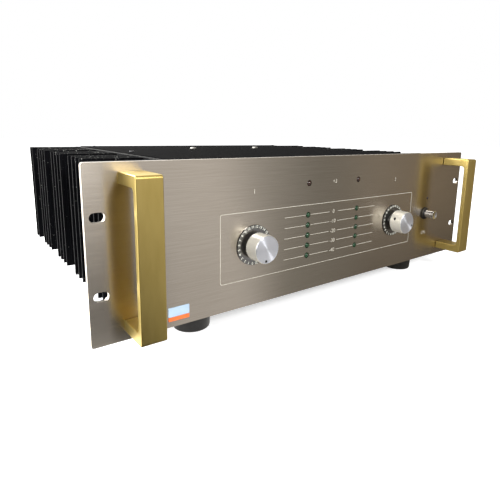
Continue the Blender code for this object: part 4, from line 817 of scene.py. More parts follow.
dark_paint, shader = new_material("black_pointer_paint", Roughness=0.5)
tree = dark_paint.node_tree
speckle = noise(tree, (0.3 * MM,) * 3)
tree.links.new(blend_colours(tree, speckle, "#08080A", "#141416"), shader.inputs["Base Color"])
black_screw, shader = new_material("blackened_steel", Metallic=1.0)
tree = black_screw.node_tree
rubbed = noise(tree, (0.8 * MM,) * 3)
tree.links.new(blend_colours(tree, rubbed, "#2A2A2C", "#47474A"), shader.inputs["Base Color"])
tree.links.new(spread(tree, rubbed, 0.3, 0.5), shader.inputs["Roughness"])
for word, side in SIDES:
    angle = SETTINGS[word] - CONTROL_TRAVEL / 2
    place = CONTROLS[word] @ Matrix.Rotation(math.radians(-angle), 4, "Z")
    to_own = place.inverted()
    low_row, high_row = KNOB_BACK + KNURL_MARGIN, KNOB_FRONT - KNURL_MARGIN
    row_h = (high_row - low_row) / (KNURL_ROWS - 1)
    groove_r = KNOB_R - KNURL_DEPTH
    knob = turned("control_knob_" + word, place, (
        (0, KNOB_FRONT - KNOB_BORE_END), (KNOB_BORE_R, KNOB_FRONT - KNOB_BORE_END),
        (KNOB_BORE_R, KNOB_BACK), (groove_r - KNOB_CHAMFER, KNOB_BACK),
        (groove_r - 0.1 * MM, KNOB_BACK + KNOB_CHAMFER),
        *((groove_r, low_row + row * row_h) for row in range(KNURL_ROWS)),
        (groove_r, KNOB_FRONT - KNOB_CHAMFER), (groove_r - KNOB_CHAMFER, KNOB_FRONT),
        (groove_r * 0.66, KNOB_FRONT), (groove_r * 0.33, KNOB_FRONT), (0, KNOB_FRONT),
    ), KNURL_COLUMNS)

    def on_knurl(points):
        at = to_own @ points[0]
        row = round((at.z - low_row) / row_h)
        column = round(math.degrees(math.atan2(at.x, at.y)) * KNURL_COLUMNS / 360)
        on_row = abs(at.z - low_row - row * row_h) < 0.05 * MM and 0 <= row < KNURL_ROWS
        return abs(at.xy.length - groove_r) < 0.02 * MM and on_row and (row + column) % 2 == 0

    choose(knob, "VERT", on_knurl)
    grown = KNOB_R / groove_r
    bpy.ops.transform.resize(value=(grown, 1, grown), center_override=place.translation)
    done_editing()
    dot_place = place @ Matrix.Translation((0, KNOB_R - DOT_FROM_EDGE, 0))
    screw_place = place @ Matrix.Translation((0, 0, KNOB_BACK + GRUB_FROM_BACK)) @ FRONTWARD
    combine(knob, "DIFFERENCE", [
        add_rod("dot", dot_place, DOT_R, KNOB_FRONT + MM, KNOB_FRONT - DOT_DEPTH, 24),
        add_rod("thread", screw_place, GRUB_HOLE_R, KNOB_R + MM, KNOB_BORE_R - MM, 24),
    ])
    centre = place.translation
    face_metal = spun_metal(
        "spun_aluminium_" + word, "#EEF0F7", "#E0E3EC", (0.3, 0.38), centre, 0.92
    )
    side_metal, shader = new_material("knurled_aluminium_" + word, Metallic=0.55)
    tree = side_metal.node_tree
    etched = noise(tree, (0.6 * MM,) * 3)
    tree.links.new(blend_colours(tree, etched, "#EDE9DC", "#FBF8EE"), shader.inputs["Base Color"])
    tree.links.new(spread(tree, etched, 0.3, 0.42), shader.inputs["Roughness"])
    body = word + "_control"
    finish(knob, side_metal, body, "bright_aluminium", "knob_" + word, angle=20)
    knob.data.materials.append(face_metal)
    for face in knob.data.polygons:
        at = to_own @ face.center
        face.material_index = int(at.z > KNOB_FRONT - KNOB_CHAMFER)
    dot = add_rod("pointer_dot_" + word, dot_place, DOT_R - 0.02 * MM,
                  KNOB_FRONT - 0.08 * MM, KNOB_FRONT - DOT_DEPTH, 24)
    finish(dot, dark_paint, body, "bright_aluminium")
    screw = turned("knob_screw_" + word, screw_place, (
        (0, GRUB_BOTTOM), (GRUB_R, GRUB_BOTTOM), (GRUB_R, GRUB_TOP - 0.2 * MM),
        (GRUB_R - 0.2 * MM, GRUB_TOP), (0, GRUB_TOP),
    ), 24)
    socket = add_rod("socket", screw_place, GRUB_SOCKET_R, GRUB_TOP + MM, GRUB_TOP - 1.6 * MM, 6)
    combine(screw, "DIFFERENCE", [socket])
    finish(screw, black_screw, body, "bright_aluminium")


# Level lights: five green lights and a red one above them for each channel, with
# clear domed cases. They are soldered to a board that also holds their driver chip.
LIGHT_R = 2.5 * MM
LIGHT_PROUD = 1.5 * MM
LIGHT_FLANGE_R = 2.9 * MM
LIGHT_FLANGE_T = 1.0 * MM
BOARD_T = 1.6 * MM
BOARD_CORNER_R = 2.0 * MM
METER_BOARD_BACK = 8.4 * MM
METER_BOARD_MARGIN = 8.0 * MM
METER_BOARD_INWARD = 19.0 * MM
METER_BOARD_OUTWARD = 24.5 * MM
METER_POST_R = 2.5 * MM
METER_POST_INSET = 5.0 * MM
METER_POST_L = 3.1 * MM
CHIP_W, CHIP_H, CHIP_T = 23.0 * MM, 6.4 * MM, 3.5 * MM
CHIP_LEGS = 9
CHIP_LEG_PITCH = 2.54 * MM
CHIP_LEG_W = 0.6 * MM


def lens_plastic(name, dark, light):
    """Tinted clear plastic over an unlit chip: deep colour under a wet shine."""
    material, shader = new_material(
        name, Roughness=0.12, Coat_Weight=1.0, Coat_Roughness=0.03
    )
    tree = material.node_tree
    depth = noise(tree, (1.4 * MM,) * 3)
    tree.links.new(blend_colours(tree, depth, dark, light), shader.inputs["Base Color"])
    return material


green_lens = lens_plastic("green_lens", "#05230F", "#0D4525")
red_lens = lens_plastic("red_lens", "#190A05", "#2E130A")
lacquer, shader = new_material("circuit_board_lacquer", Roughness=0.3, Coat_Weight=0.4)
tree = lacquer.node_tree
tracks = add_node(tree, "TexBrick", values={
    "Scale": 1.0, "Mortar Size": 0.16, "Brick Width": 3.2, "Row Height": 1.1,
    "Color1": linear("#2E5A2C"), "Color2": linear("#37662F"), "Mortar": linear("#4E7B3B"),
}, links={"Vector": object_places(tree, (2.5 * MM, 2.5 * MM, 2.5 * MM))})
tree.links.new(tracks.outputs["Color"], shader.inputs["Base Color"])
moulded_black, shader = new_material("moulded_black_plastic")
tree = moulded_black.node_tree
grainy = noise(tree, (0.7 * MM,) * 3, 3.0)
tree.links.new(blend_colours(tree, grainy, "#161617", "#232325"), shader.inputs["Base Color"])
tree.links.new(spread(tree, grainy, 0.4, 0.55), shader.inputs["Roughness"])
raise_by(tree, shader, grainy, 0.03 * MM, 0.5)
light_rings = (
    (0, LIGHT_PROUD), (0.9 * MM, 1.36 * MM), (1.6 * MM, 0.98 * MM), (2.12 * MM, 0.4 * MM),
    (2.4 * MM, -0.1 * MM), (LIGHT_R, -0.7 * MM), (LIGHT_R, LIGHT_FLANGE_T - METER_BOARD_BACK),
    (LIGHT_FLANGE_R, LIGHT_FLANGE_T - METER_BOARD_BACK), (LIGHT_FLANGE_R, -METER_BOARD_BACK),
    (0, -METER_BOARD_BACK),
)
for word, side in SIDES:
    zs = [OVERLOAD_Z, *LEVEL_ZS]
    xs = sorted((side * (LIGHT_X - METER_BOARD_INWARD), side * (LIGHT_X + METER_BOARD_OUTWARD)))
    board_y = FACE_Y + METER_BOARD_BACK
    low_z, high_z = min(zs) - METER_BOARD_MARGIN, max(zs) + METER_BOARD_MARGIN
    plate = add_box("meter_board_plate_" + word, (xs[0], board_y, low_z),
                    (xs[1], board_y + BOARD_T, high_z))
    bevel_where(plate, lambda p: abs(p[0].y - p[1].y) > MM, BOARD_CORNER_R)
    finish(plate, lacquer, "chassis", "circuit_board", "meter_board_" + word)
    post_x = side * (LIGHT_X + METER_BOARD_OUTWARD - METER_POST_INSET)
    posts = [
        turned("post", Matrix.Translation((post_x, board_y, z)) @ FRONTWARD, (
            (METER_POST_R, 0), (METER_POST_R, METER_POST_L),
        ), 6)
        for z in (low_z + METER_POST_INSET, high_z - METER_POST_INSET)
    ]
    finish(merge("meter_board_posts_" + word, posts), zinc, "chassis", "plated_steel")
    chip_x = (xs[0] + xs[1]) / 2
    chip_low = (chip_x - CHIP_W / 2, board_y + BOARD_T + 0.5 * MM, CONTROL_Z - CHIP_H / 2)
    chip_high = (chip_x + CHIP_W / 2, board_y + BOARD_T + 0.5 * MM + CHIP_T, CONTROL_Z + CHIP_H / 2)
    chip = add_box("meter_chip_" + word, chip_low, chip_high)
    ease_edges(chip, 0.4 * MM)
    finish(chip, moulded_black, "chassis", "circuit_board")
    legs = []
    for index in range(CHIP_LEGS):
        leg_x = chip_x + (index - (CHIP_LEGS - 1) / 2) * CHIP_LEG_PITCH
        for end in (-1, 1):
            leg_zs = sorted((CONTROL_Z + end * CHIP_H / 2, CONTROL_Z + end * (CHIP_H / 2 + 0.6 * MM)))
            leg = add_box("leg", (leg_x - CHIP_LEG_W / 2, board_y + BOARD_T, leg_zs[0]),
                          (leg_x + CHIP_LEG_W / 2, board_y + BOARD_T + 2 * MM, leg_zs[1]))
            legs.append(leg)
    finish(merge("meter_chip_legs_" + word, legs), zinc, "chassis", "circuit_board")
    for name, light_zs, lens in (
        ("overload_light_", [OVERLOAD_Z], red_lens), ("level_lights_", LEVEL_ZS, green_lens),
    ):
        first = turned(name + word, Matrix.Translation((side * LIGHT_X, FACE_Y, light_zs[0]))
                       @ FRONTWARD, light_rings, 32)
        more = [
            copy_piece(first, "light", Matrix.Translation((0, 0, z - light_zs[0])))
            for z in light_zs[1:]
        ]
        finish(merge(name + word, [first, *more]), lens, "chassis", "circuit_board")


# Mains light: a small dark red light in a plain hole above the switch.
PILOT_R = 1.5 * MM
PILOT_PROUD = 0.8 * MM
PILOT_FLANGE_R = 2.3 * MM
PILOT_FLANGE_FRONT = -5.3 * MM
PILOT_FLANGE_BACK = -6.3 * MM
PILOT_END = -8.8 * MM
pilot = turned("mains_light", Matrix.Translation((PILOT_X, FACE_Y, PILOT_Z)) @ FRONTWARD, (
    (0, PILOT_PROUD), (0.6 * MM, 0.7 * MM), (1.1 * MM, 0.4 * MM), (1.4 * MM, 0),
    (PILOT_R, -0.6 * MM), (PILOT_R, PILOT_FLANGE_FRONT), (PILOT_FLANGE_R, PILOT_FLANGE_FRONT),
    (PILOT_FLANGE_R, PILOT_FLANGE_BACK), (PILOT_R, PILOT_FLANGE_BACK), (PILOT_R, PILOT_END),
    (0, PILOT_END),
), 24)
finish(pilot, lens_plastic("mains_lens", "#170605", "#2B0B09"), "chassis", "light_plastic", "power_led")


# Mains switch: a push switch whose moulded body sits behind the panel. A black ring
# nut holds its bush, and the chromed button has a dished end.
NUT_R = 7.6 * MM
NUT_HOLE_R = 6.5 * MM
NUT_BACK, NUT_FRONT = 0.3 * MM, 2.1 * MM
NUT_EDGE = 0.95 * MM
BUTTON_R = 5.2 * MM
BUTTON_FRONT = 14.0 * MM
BUTTON_DISH = 0.75 * MM
BUTTON_RIM = 0.85 * MM
BUTTON_BACK = -8.0 * MM
switch_place = Matrix.Translation((SWITCH_X, FACE_Y, SWITCH_Z)) @ FRONTWARD
dress(moulded_black, "black_plastic", "power_switch")
black_anodised, shader = new_material("black_anodised_aluminium", Metallic=0.9)
tree = black_anodised.node_tree
streaks = noise(tree, (0.5 * MM, 0.5 * MM, 14 * MM), 3.0)
tree.links.new(blend_colours(tree, streaks, "#47433D", "#57534B"), shader.inputs["Base Color"])
tree.links.new(spread(tree, streaks, 0.34, 0.5), shader.inputs["Roughness"])
nut = turned("switch_ring_nut", switch_place, (
    (NUT_HOLE_R, NUT_BACK), (NUT_R - 0.1 * MM, NUT_BACK), (NUT_R, NUT_BACK + 0.1 * MM),
    (NUT_R, NUT_BACK + 0.5 * MM), (NUT_R - NUT_EDGE, NUT_FRONT), (NUT_HOLE_R, NUT_FRONT),
), 64, closed=True)
finish(nut, black_anodised, "chassis", "black_aluminium", "switch_nut")
chrome, shader = new_material("polished_chrome", Metallic=1.0)
tree = chrome.node_tree
haze = noise(tree, (4 * MM,) * 3, 2.0)
tree.links.new(blend_colours(tree, haze, "#D6D6D8", "#F0F0F1"), shader.inputs["Base Color"])
tree.links.new(spread(tree, haze, 0.06, 0.14), shader.inputs["Roughness"])
dish_r = BUTTON_R - BUTTON_RIM
button = turned("push_button", switch_place, (
    (0, BUTTON_FRONT - BUTTON_DISH), (dish_r * 0.5, BUTTON_FRONT - BUTTON_DISH * 0.8),
    (dish_r * 0.85, BUTTON_FRONT - BUTTON_DISH * 0.35), (dish_r, BUTTON_FRONT - 0.06 * MM),
    (dish_r + 0.2 * MM, BUTTON_FRONT), (BUTTON_R - 0.25 * MM, BUTTON_FRONT),
    (BUTTON_R, BUTTON_FRONT - 0.25 * MM), (BUTTON_R, BUTTON_BACK), (0, BUTTON_BACK),
), 64)
finish(button, chrome, "power_button", "bright_steel", "power_button")


# Heatsinks: four modules along each flank, each sawn from a black anodised extrusion
# with four ribbed fins, and screwed to the side rails.
FIN_YS = (-28.75 * MM, -16.35 * MM, 16.35 * MM, 28.75 * MM)
FIN_ROOT_T = 3.0 * MM
FIN_TIP_T = 1.9 * MM
SINK_BASE_T = 6.0 * MM
SINK_EDGE = 0.3 * MM
FIN_RIBS = 12
FIN_RIB_PITCH = 4.0 * MM
FIN_RIB_FROM_TIP = 5.0 * MM
FIN_RIB_R = 0.35 * MM
SINK_COUNT = 4
# Heights of the fins' top ends, along which the pale specks gather as painted glints.
TOP_GLINT_FROM, TOP_GLINT_TO = 142.0 * MM, 145.0 * MM
worn_black, shader = new_material("black_anodised_extrusion", Specular_IOR_Level=0.03)
tree = worn_black.node_tree
streaks = noise(tree, (0.9 * MM, 0.9 * MM, 60 * MM), 3.0)
# Pale specks on the black: partly dust, at random all over, and partly painted glints, which gather along the
# fins' top ends where light catches them.
dust = noise(tree, (1.6 * MM, 1.6 * MM, 2.6 * MM), 4.0)
heights = add_node(tree, "SeparateXYZ", links={
    "Vector": add_node(tree, "TexCoord").outputs["Object"],
})
top_glint = add_node(tree, "MapRange", values={
    "From Min": TOP_GLINT_FROM, "From Max": TOP_GLINT_TO, "To Max": 0.07,
}, links={"Value": heights.outputs["Z"]})
dust_and_top_glint = add_node(tree, "Math", links={
    0: dust, 1: top_glint.outputs["Result"],
}, operation="ADD")
base = blend_colours(tree, streaks, "#070709", "#0E0F12")
specks = add_node(tree, "MapRange", values={
    "From Min": 0.68, "From Max": 0.8,
}, links={"Value": dust_and_top_glint.outputs[0]})
coloured = add_node(tree, "MixRGB", values={"Color2": linear("#9A9A95")}, links={
    "Fac": specks.outputs["Result"], "Color1": base,
})
tree.links.new(coloured.outputs["Color"], shader.inputs["Base Color"])
tree.links.new(spread(tree, streaks, 0.42, 0.6), shader.inputs["Roughness"])
for word, side in SIDES:
    low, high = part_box(f"heatsink_{word}_1")
    middle_y = (low.y + high.y) / 2
    back_x = side * min(abs(low.x), abs(high.x))
    tip_x = side * max(abs(low.x), abs(high.x))
    face_x = back_x + side * SINK_BASE_T
    xs = sorted((back_x, face_x))
    shapes = [add_box("base", (xs[0], low.y, low.z), (xs[1], high.y, high.z))]
    for fin_y in FIN_YS:
        y = middle_y + fin_y
        xs = sorted((face_x - side * MM, tip_x))
        fin = add_box("fin", (xs[0], y - FIN_ROOT_T / 2, low.z), (xs[1], y + FIN_ROOT_T / 2, high.z))
        choose(fin, "VERT", lambda p: abs(p[0].x - tip_x) < 0.1 * MM)
        thinner = FIN_TIP_T / FIN_ROOT_T
        bpy.ops.transform.resize(value=(1, thinner, 1), center_override=(tip_x, y, 0))
        done_editing()
        ease_edges(fin, 0.45 * MM, 3)
        shapes.append(fin)
        for index in range(FIN_RIBS):
            rib_x = tip_x - side * (FIN_RIB_FROM_TIP + index * FIN_RIB_PITCH)
            along = (rib_x - face_x) / (tip_x - face_x)
            half_t = (FIN_ROOT_T + (FIN_TIP_T - FIN_ROOT_T) * along) / 2
            for end in (-1, 1):
                rib_place = Matrix.Translation((rib_x, y + end * half_t, 0))
                shapes.append(add_rod("rib", rib_place, FIN_RIB_R, high.z - 0.3 * MM, low.z + 0.3 * MM, 8))
    module = merge(f"finned_module_{word}_1", shapes)
    finish(module, worn_black, "chassis", "black_aluminium", f"heatsink_{word}_1")
    for index in range(2, SINK_COUNT + 1):
        own_low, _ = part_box(f"heatsink_{word}_{index}")
        shift = Matrix.Translation((0, own_low.y - low.y, 0))
        copy = copy_piece(module, f"finned_module_{word}_{index}", shift)
        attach(copy, "chassis")
        if "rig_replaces" in copy:
            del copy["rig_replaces"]
        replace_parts(copy, f"heatsink_{word}_{index}")


# Case: folded and flat steel sheets, powder coated in a fine black texture. The lid
# is held by two bright cheese-head screws and by small black ones along its edges.
LID_EDGE = 0.3 * MM
LID_SCREW_HOLE_R = 2.2 * MM
powder, shader = new_material("black_powder_coat", Specular_IOR_Level=0.004)
tree = powder.node_tree
pimples = noise(tree, (1.1 * MM,) * 3, 3.0)
lint = noise(tree, (2.2 * MM,) * 3, 5.0)
base = blend_colours(tree, pimples, "#080809", "#0F0F10")
specks = add_node(tree, "MapRange", values={
    "From Min": 0.7, "From Max": 0.8,
}, links={"Value": lint})
coloured = add_node(tree, "MixRGB", values={"Color2": linear("#5E5D59")}, links={
    "Fac": specks.outputs["Result"], "Color1": base,
})
tree.links.new(coloured.outputs["Color"], shader.inputs["Base Color"])
tree.links.new(spread(tree, pimples, 0.6, 0.8), shader.inputs["Roughness"])
raise_by(tree, shader, pimples, 0.08 * MM, 0.6)
lid_low, lid_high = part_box("top_cover")
lid = add_box("lid", lid_low, lid_high)
screw_places = {}
for word, _ in SIDES:
    low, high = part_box("cover_screw_" + word)
    screw_places[word] = Matrix.Translation(((low.x + high.x) / 2, (low.y + high.y) / 2, lid_high.z))
combine(lid, "DIFFERENCE", [
    add_rod("hole", place, LID_SCREW_HOLE_R, MM, -5 * MM, 32) for place in screw_places.values()
])
ease_edges(lid, LID_EDGE)
finish(lid, powder, "chassis", "painted_steel", "top_cover")
dress(powder, "painted_steel", "chassis_tray", "rear_panel")
dress(zinc, "plated_steel", "cover_brace", "top_rail_left", "top_rail_right", "subpanel")

SCREW_HEAD_R = 4.0 * MM
SCREW_HEAD_BACK, SCREW_HEAD_FRONT = 0.3 * MM, 2.2 * MM
SCREW_SHANK_R = 2.0 * MM
SCREW_END = -7.7 * MM
bright_screw, shader = new_material("nickel_plated_screw", Metallic=1.0)
tree = bright_screw.node_tree
haze = noise(tree, (1.2 * MM,) * 3, 2.0)
tree.links.new(blend_colours(tree, haze, "#A9A8A3", "#C8C7C2"), shader.inputs["Base Color"])
tree.links.new(spread(tree, haze, 0.35, 0.5), shader.inputs["Roughness"])


def add_screw(name, place, head_r, head_back, head_front, shank_r, end, sides=32):
    """A pan-head screw with a cross recess, its head up a place's own Z."""
    rise = head_front - head_back
    screw = turned(name, place, (
        (0, head_front), (head_r * 0.55, head_front - 0.04 * rise),
        (head_r * 0.85, head_front - 0.22 * rise), (head_r, head_front - 0.6 * rise),
        (head_r, head_back), (shank_r, head_back), (shank_r, end), (0, end),
    ), sides)
    arms = []
    for turn in (0, 90):
        low = (-0.45 * head_r, -0.11 * head_r, head_front - 0.55 * rise)
        arm = add_box("arm", low, (0.45 * head_r, 0.11 * head_r, head_front + MM))
        arm.data.transform(place @ Matrix.Rotation(math.radians(turn + 20), 4, "Z"))
        arms.append(arm)
    combine(screw, "DIFFERENCE", arms)
    return screw


for word, place in screw_places.items():
    screw = add_screw("lid_screw_" + word, place, SCREW_HEAD_R, SCREW_HEAD_BACK,
                      SCREW_HEAD_FRONT, SCREW_SHANK_R, SCREW_END)
    finish(screw, bright_screw, "chassis", "bright_steel", "cover_screw_" + word)
EDGE_SCREW_X = 149.0 * MM
EDGE_SCREW_YS = (20.0 * MM, 155.0 * MM, 290.0 * MM)
EDGE_SCREW_HEAD_R = 2.8 * MM
EDGE_SCREW_RISE = 1.2 * MM
edge_screws = []
for _, side in SIDES:
    for from_panel in EDGE_SCREW_YS:
        place = Matrix.Translation((side * EDGE_SCREW_X, FACE_Y + from_panel, lid_high.z))
        edge_screws.append(add_screw("screw", place, EDGE_SCREW_HEAD_R, 0, EDGE_SCREW_RISE,
                                     1.4 * MM, -4 * MM, 24))
finish(merge("lid_edge_screws", edge_screws), black_screw, "chassis", "painted_steel")


# Feet: moulded black rubber, slightly tapered and smooth, with a screw up the
# hollow of each.
FOOT_TOP_R = 17.0 * MM
FOOT_BASE_R = 16.0 * MM
FOOT_RECESS_R = 6.5 * MM
FOOT_RECESS_H = 9.0 * MM
FOOT_BORE_R = 2.4 * MM
rubber, shader = new_material("moulded_black_rubber", Coat_Weight=0.6, Coat_Roughness=0.22)
tree = rubber.node_tree
bloom = noise(tree, (6 * MM,) * 3, 3.0)
tree.links.new(blend_colours(tree, bloom, "#131313", "#232322"), shader.inputs["Base Color"])
tree.links.new(spread(tree, bloom, 0.32, 0.5), shader.inputs["Roughness"])
foot_names = [f"foot_{end}_{word}" for end in ("front", "rear") for word, _ in SIDES]
first_foot = None
for name in foot_names:
    low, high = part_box(name)
    x, y = (low.x + high.x) / 2, (low.y + high.y) / 2
    if first_foot is None:
        foot = turned("rubber_" + name, Matrix.Translation((x, y, 0)), (
            (FOOT_BORE_R, high.z), (FOOT_TOP_R - 0.6 * MM, high.z),
            (FOOT_TOP_R - 0.15 * MM, high.z - 0.2 * MM), (FOOT_TOP_R, high.z - 0.8 * MM),
            (FOOT_BASE_R + 0.05 * MM, 1.6 * MM), (FOOT_BASE_R - 0.25 * MM, 0.7 * MM),
            (FOOT_BASE_R - 0.9 * MM, 0.15 * MM), (FOOT_BASE_R - 1.6 * MM, 0),
            (FOOT_RECESS_R + 0.4 * MM, 0), (FOOT_RECESS_R, 0.4 * MM),
            (FOOT_RECESS_R, FOOT_RECESS_H), (FOOT_BORE_R, FOOT_RECESS_H),
        ), 72, closed=True)
        finish(foot, rubber, "chassis", "rubber", name)
        first_foot, first_place = foot, Vector((x, y, 0))
    else:
        shift = Matrix.Translation(Vector((x, y, 0)) - first_place)
        foot = copy_piece(first_foot, "rubber_" + name, shift)
        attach(foot, "chassis")
        if "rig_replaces" in foot:
            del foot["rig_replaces"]
        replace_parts(foot, name)
    head = FOOT_RECESS_H - 3.2 * MM
    screw = add_screw("foot_screw_" + name, Matrix.Translation((x, y, 0)) @ DOWNWARD,
                      4.2 * MM, -FOOT_RECESS_H, -head, 1.9 * MM, -high.z - 3 * MM, 24)
    finish(screw, zinc, "chassis", "rubber")


# Transformer: a ring wound and taped in amber, held by a dished plate and one bolt.
taped, shader = new_material("amber_winding_tape", Roughness=0.35, Coat_Weight=0.2)
tree = taped.node_tree
ring_low, ring_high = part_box("transformer")
ring_centre = (ring_low + ring_high) / 2
outward = object_places(tree, (1, 1, 1), ring_centre)
apart = add_node(tree, "SeparateXYZ", links={"Vector": outward})
angle = add_node(tree, "Math", links={
    0: apart.outputs["Y"], 1: apart.outputs["X"],
}, operation="ARCTAN2")
turns = add_node(tree, "Math", values={1: 60.0}, links={0: angle.outputs[0]}, operation="MULTIPLY")
wave = add_node(tree, "Math", links={0: turns.outputs[0]}, operation="SINE")
tree.links.new(blend_colours(tree, wave.outputs[0], "#A57A24", "#C99A3A", 0.0, 1.0),
               shader.inputs["Base Color"])
raise_by(tree, shader, wave.outputs[0], 0.15 * MM, 0.6)
dress(taped, "wound_core", "transformer")
dress(zinc, "plated_steel", "transformer_clamp", "transformer_bolt")


# Reservoir capacitors: aluminium cans in blue shrunk sleeves, closed by black discs
# with two plated terminals, in a moulded collar. A bridge rectifier sits behind them.
CAN_TERMINAL_X = 12.0 * MM
CAN_TERMINAL_R = 4.0 * MM
CAN_TERMINAL_H = 5.0 * MM
CAN_LIP = 2.2 * MM
TAB_PLACES = ((-8.5, -8.5), (8.5, -8.5), (8.5, 8.5), (-8.5, 8.5))
sleeve, shader = new_material("blue_shrunk_sleeve", Roughness=0.35)
tree = sleeve.node_tree
shrunk = noise(tree, (9 * MM, 9 * MM, 30 * MM), 2.0)
tree.links.new(blend_colours(tree, shrunk, "#1D2C5E", "#273A78"), shader.inputs["Base Color"])
raise_by(tree, shader, shrunk, 0.3 * MM, 0.4)
for word, _ in SIDES:
    low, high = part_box("reservoir_capacitor_" + word)
    x, y, r = (low.x + high.x) / 2, (low.y + high.y) / 2, (high.x - low.x) / 2
    top = high.z - CAN_TERMINAL_H
    place = Matrix.Translation((x, y, 0))
    wrap = turned("capacitor_sleeve_" + word, place, (
        (0, low.z), (r - 0.8 * MM, low.z), (r, low.z + 0.8 * MM), (r, top - 4.2 * MM),
        (r - 0.9 * MM, top - 3.8 * MM), (r - 0.9 * MM, top - 3.2 * MM), (r, top - 2.8 * MM),
        (r, top - 0.6 * MM), (r - 0.6 * MM, top), (r - CAN_LIP, top),
        (r - CAN_LIP, top - 1.4 * MM), (0, top - 1.4 * MM),
    ), 72)
    finish(wrap, sleeve, "chassis", "capacitor_sleeve", "reservoir_capacitor_" + word)
    disc_r = r - CAN_LIP - 0.05 * MM
    disc = turned("capacitor_disc_" + word, place, (
        (0, top - 1.35 * MM), (disc_r, top - 1.35 * MM), (disc_r, top - 0.7 * MM),
        (disc_r - 0.4 * MM, top - 0.5 * MM), (0, top - 0.5 * MM),
    ), 72)
    finish(disc, moulded_black, "chassis", "black_plastic")
    terminals = []
    for end in (-1, 1):
        terminals.append(turned("terminal", Matrix.Translation((x + end * CAN_TERMINAL_X, y, 0)), (
            (0, top - 0.6 * MM), (CAN_TERMINAL_R, top - 0.6 * MM),
            (CAN_TERMINAL_R, high.z - 0.5 * MM), (CAN_TERMINAL_R - 0.5 * MM, high.z),
            (2.1 * MM, high.z), (1.7 * MM, high.z - 0.4 * MM), (1.7 * MM, high.z - 3 * MM),
            (0, high.z - 3 * MM),
        ), 32))
    finish(merge("capacitor_terminals_" + word, terminals), zinc, "chassis", "plated_steel")
dress(moulded_black, "black_plastic", "capacitor_collar", "bridge_rectifier")
low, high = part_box("bridge_rectifier")
x, y = (low.x + high.x) / 2, (low.y + high.y) / 2
tab = add_box("tab", (x - 3.1 * MM, y - 0.4 * MM, high.z - MM), (x + 3.1 * MM, y + 0.4 * MM, high.z + 8 * MM))
bevel_where(tab, lambda ends: all(end.z > high.z + 7 * MM for end in ends)
            and abs(ends[0].x - ends[1].x) < POINT_R, 1.6 * MM, 1)
combine(tab, "DIFFERENCE", [
    add_rod("hole", Matrix.Translation((x, y, high.z + 5 * MM)) @ BACKWARD, 0.9 * MM, 2 * MM, -2 * MM, 24)
])
tabs = [
    copy_piece(tab, "tab", Matrix.Translation((across * MM, along * MM, 0)))
    for across, along in TAB_PLACES
]
bpy.data.objects.remove(tab, do_unlink=True)
finish(merge("rectifier_tabs", tabs), zinc, "chassis", "plated_steel")


# Driver boards: green lacquered glass-fibre boards, one upright beside each row of
# heatsinks, with relays, small capacitors and output transistors soldered on.
BOARD_T = 1.6 * MM
BOARD_FACE_X = 148.4 * MM
BOARD_HOLE_INSET = 5.0 * MM
RELAY_SIZE = (14.0 * MM, 20.0 * MM, 26.0 * MM)
RELAY_SHARES = ((0.28, 0.30), (0.72, 0.30))
SMALL_CAN_R, SMALL_CAN_H = 6.5 * MM, 13.0 * MM
SMALL_CAN_SHARES = ((0.2, 0.72), (0.5, 0.72), (0.8, 0.72))
TRANSISTOR_SIZE = (5.0 * MM, 15.5 * MM, 20.0 * MM)
TRANSISTOR_Z = 99.5 * MM
TRANSISTOR_REACH = 15.0 * MM
LEAD_PITCH = 5.45 * MM
INWARD = Matrix.Rotation(math.radians(-90), 4, "Y")
low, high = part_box("driver_board_right")
board_middle = (low.y + high.y) / 2
board_z, board_high_z = low.z, high.z
board = add_box("driver_board", (BOARD_FACE_X, low.y, low.z), (BOARD_FACE_X + BOARD_T, high.y, high.z))
combine(board, "DIFFERENCE", [
    add_rod("hole", Matrix.Translation((BOARD_FACE_X, end_y, end_z)) @ INWARD, 1.6 * MM, 3 * MM, -3 * MM, 24)
    for end_y in (low.y + BOARD_HOLE_INSET, high.y - BOARD_HOLE_INSET)
    for end_z in (low.z + BOARD_HOLE_INSET, high.z - BOARD_HOLE_INSET)
])
ease_edges(board, 0.2 * MM, 1)
relays = []
for share_y, share_z in RELAY_SHARES:
    corner = Vector((
        BOARD_FACE_X - RELAY_SIZE[0],
        low.y + (high.y - low.y) * share_y - RELAY_SIZE[1] / 2,
        low.z + (high.z - low.z) * share_z - RELAY_SIZE[2] / 2,
    ))
    relay = add_box("relay", corner, corner + Vector(RELAY_SIZE))
    choose(relay, "FACE", lambda points: all(point.x < corner.x + POINT_R for point in points))
    bpy.ops.mesh.inset(thickness=1.2 * MM, depth=-0.5 * MM)
    done_editing()
    ease_edges(relay, 0.5 * MM)
    relays.append(relay)
relays = merge("relays", relays)
cans = []
for share_y, share_z in SMALL_CAN_SHARES:
    place = Matrix.Translation((
        BOARD_FACE_X, low.y + (high.y - low.y) * share_y, low.z + (high.z - low.z) * share_z
    )) @ INWARD
    r, top = SMALL_CAN_R, SMALL_CAN_H
    cans.append(turned("can", place, (
        (0, 0), (r - 0.6 * MM, 0), (r - 0.5 * MM, 0.8 * MM), (r, 1.2 * MM), (r, top - 0.8 * MM),
        (r - 0.7 * MM, top), (r - 1.6 * MM, top), (r - 1.7 * MM, top - 0.3 * MM),
        (0, top - 0.3 * MM),
    ), 40))
cans = merge("small_capacitors", cans)
packages, leads = [], []
back = high.x
front = back - TRANSISTOR_SIZE[0]
half_w, half_h = TRANSISTOR_SIZE[1] / 2, TRANSISTOR_SIZE[2] / 2
module_ys = []
for number in range(1, 5):
    sink_low, sink_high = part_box(f"heatsink_right_{number}")
    module_ys.append((sink_low.y + sink_high.y) / 2)
package = add_box("package", (front, -half_w, TRANSISTOR_Z - half_h), (back, half_w, TRANSISTOR_Z + half_h))
combine(package, "DIFFERENCE", [add_rod(
    "hole", Matrix.Translation((back, 0, TRANSISTOR_Z + 5 * MM)) @ INWARD, 1.8 * MM, 8 * MM, -MM, 32
)])
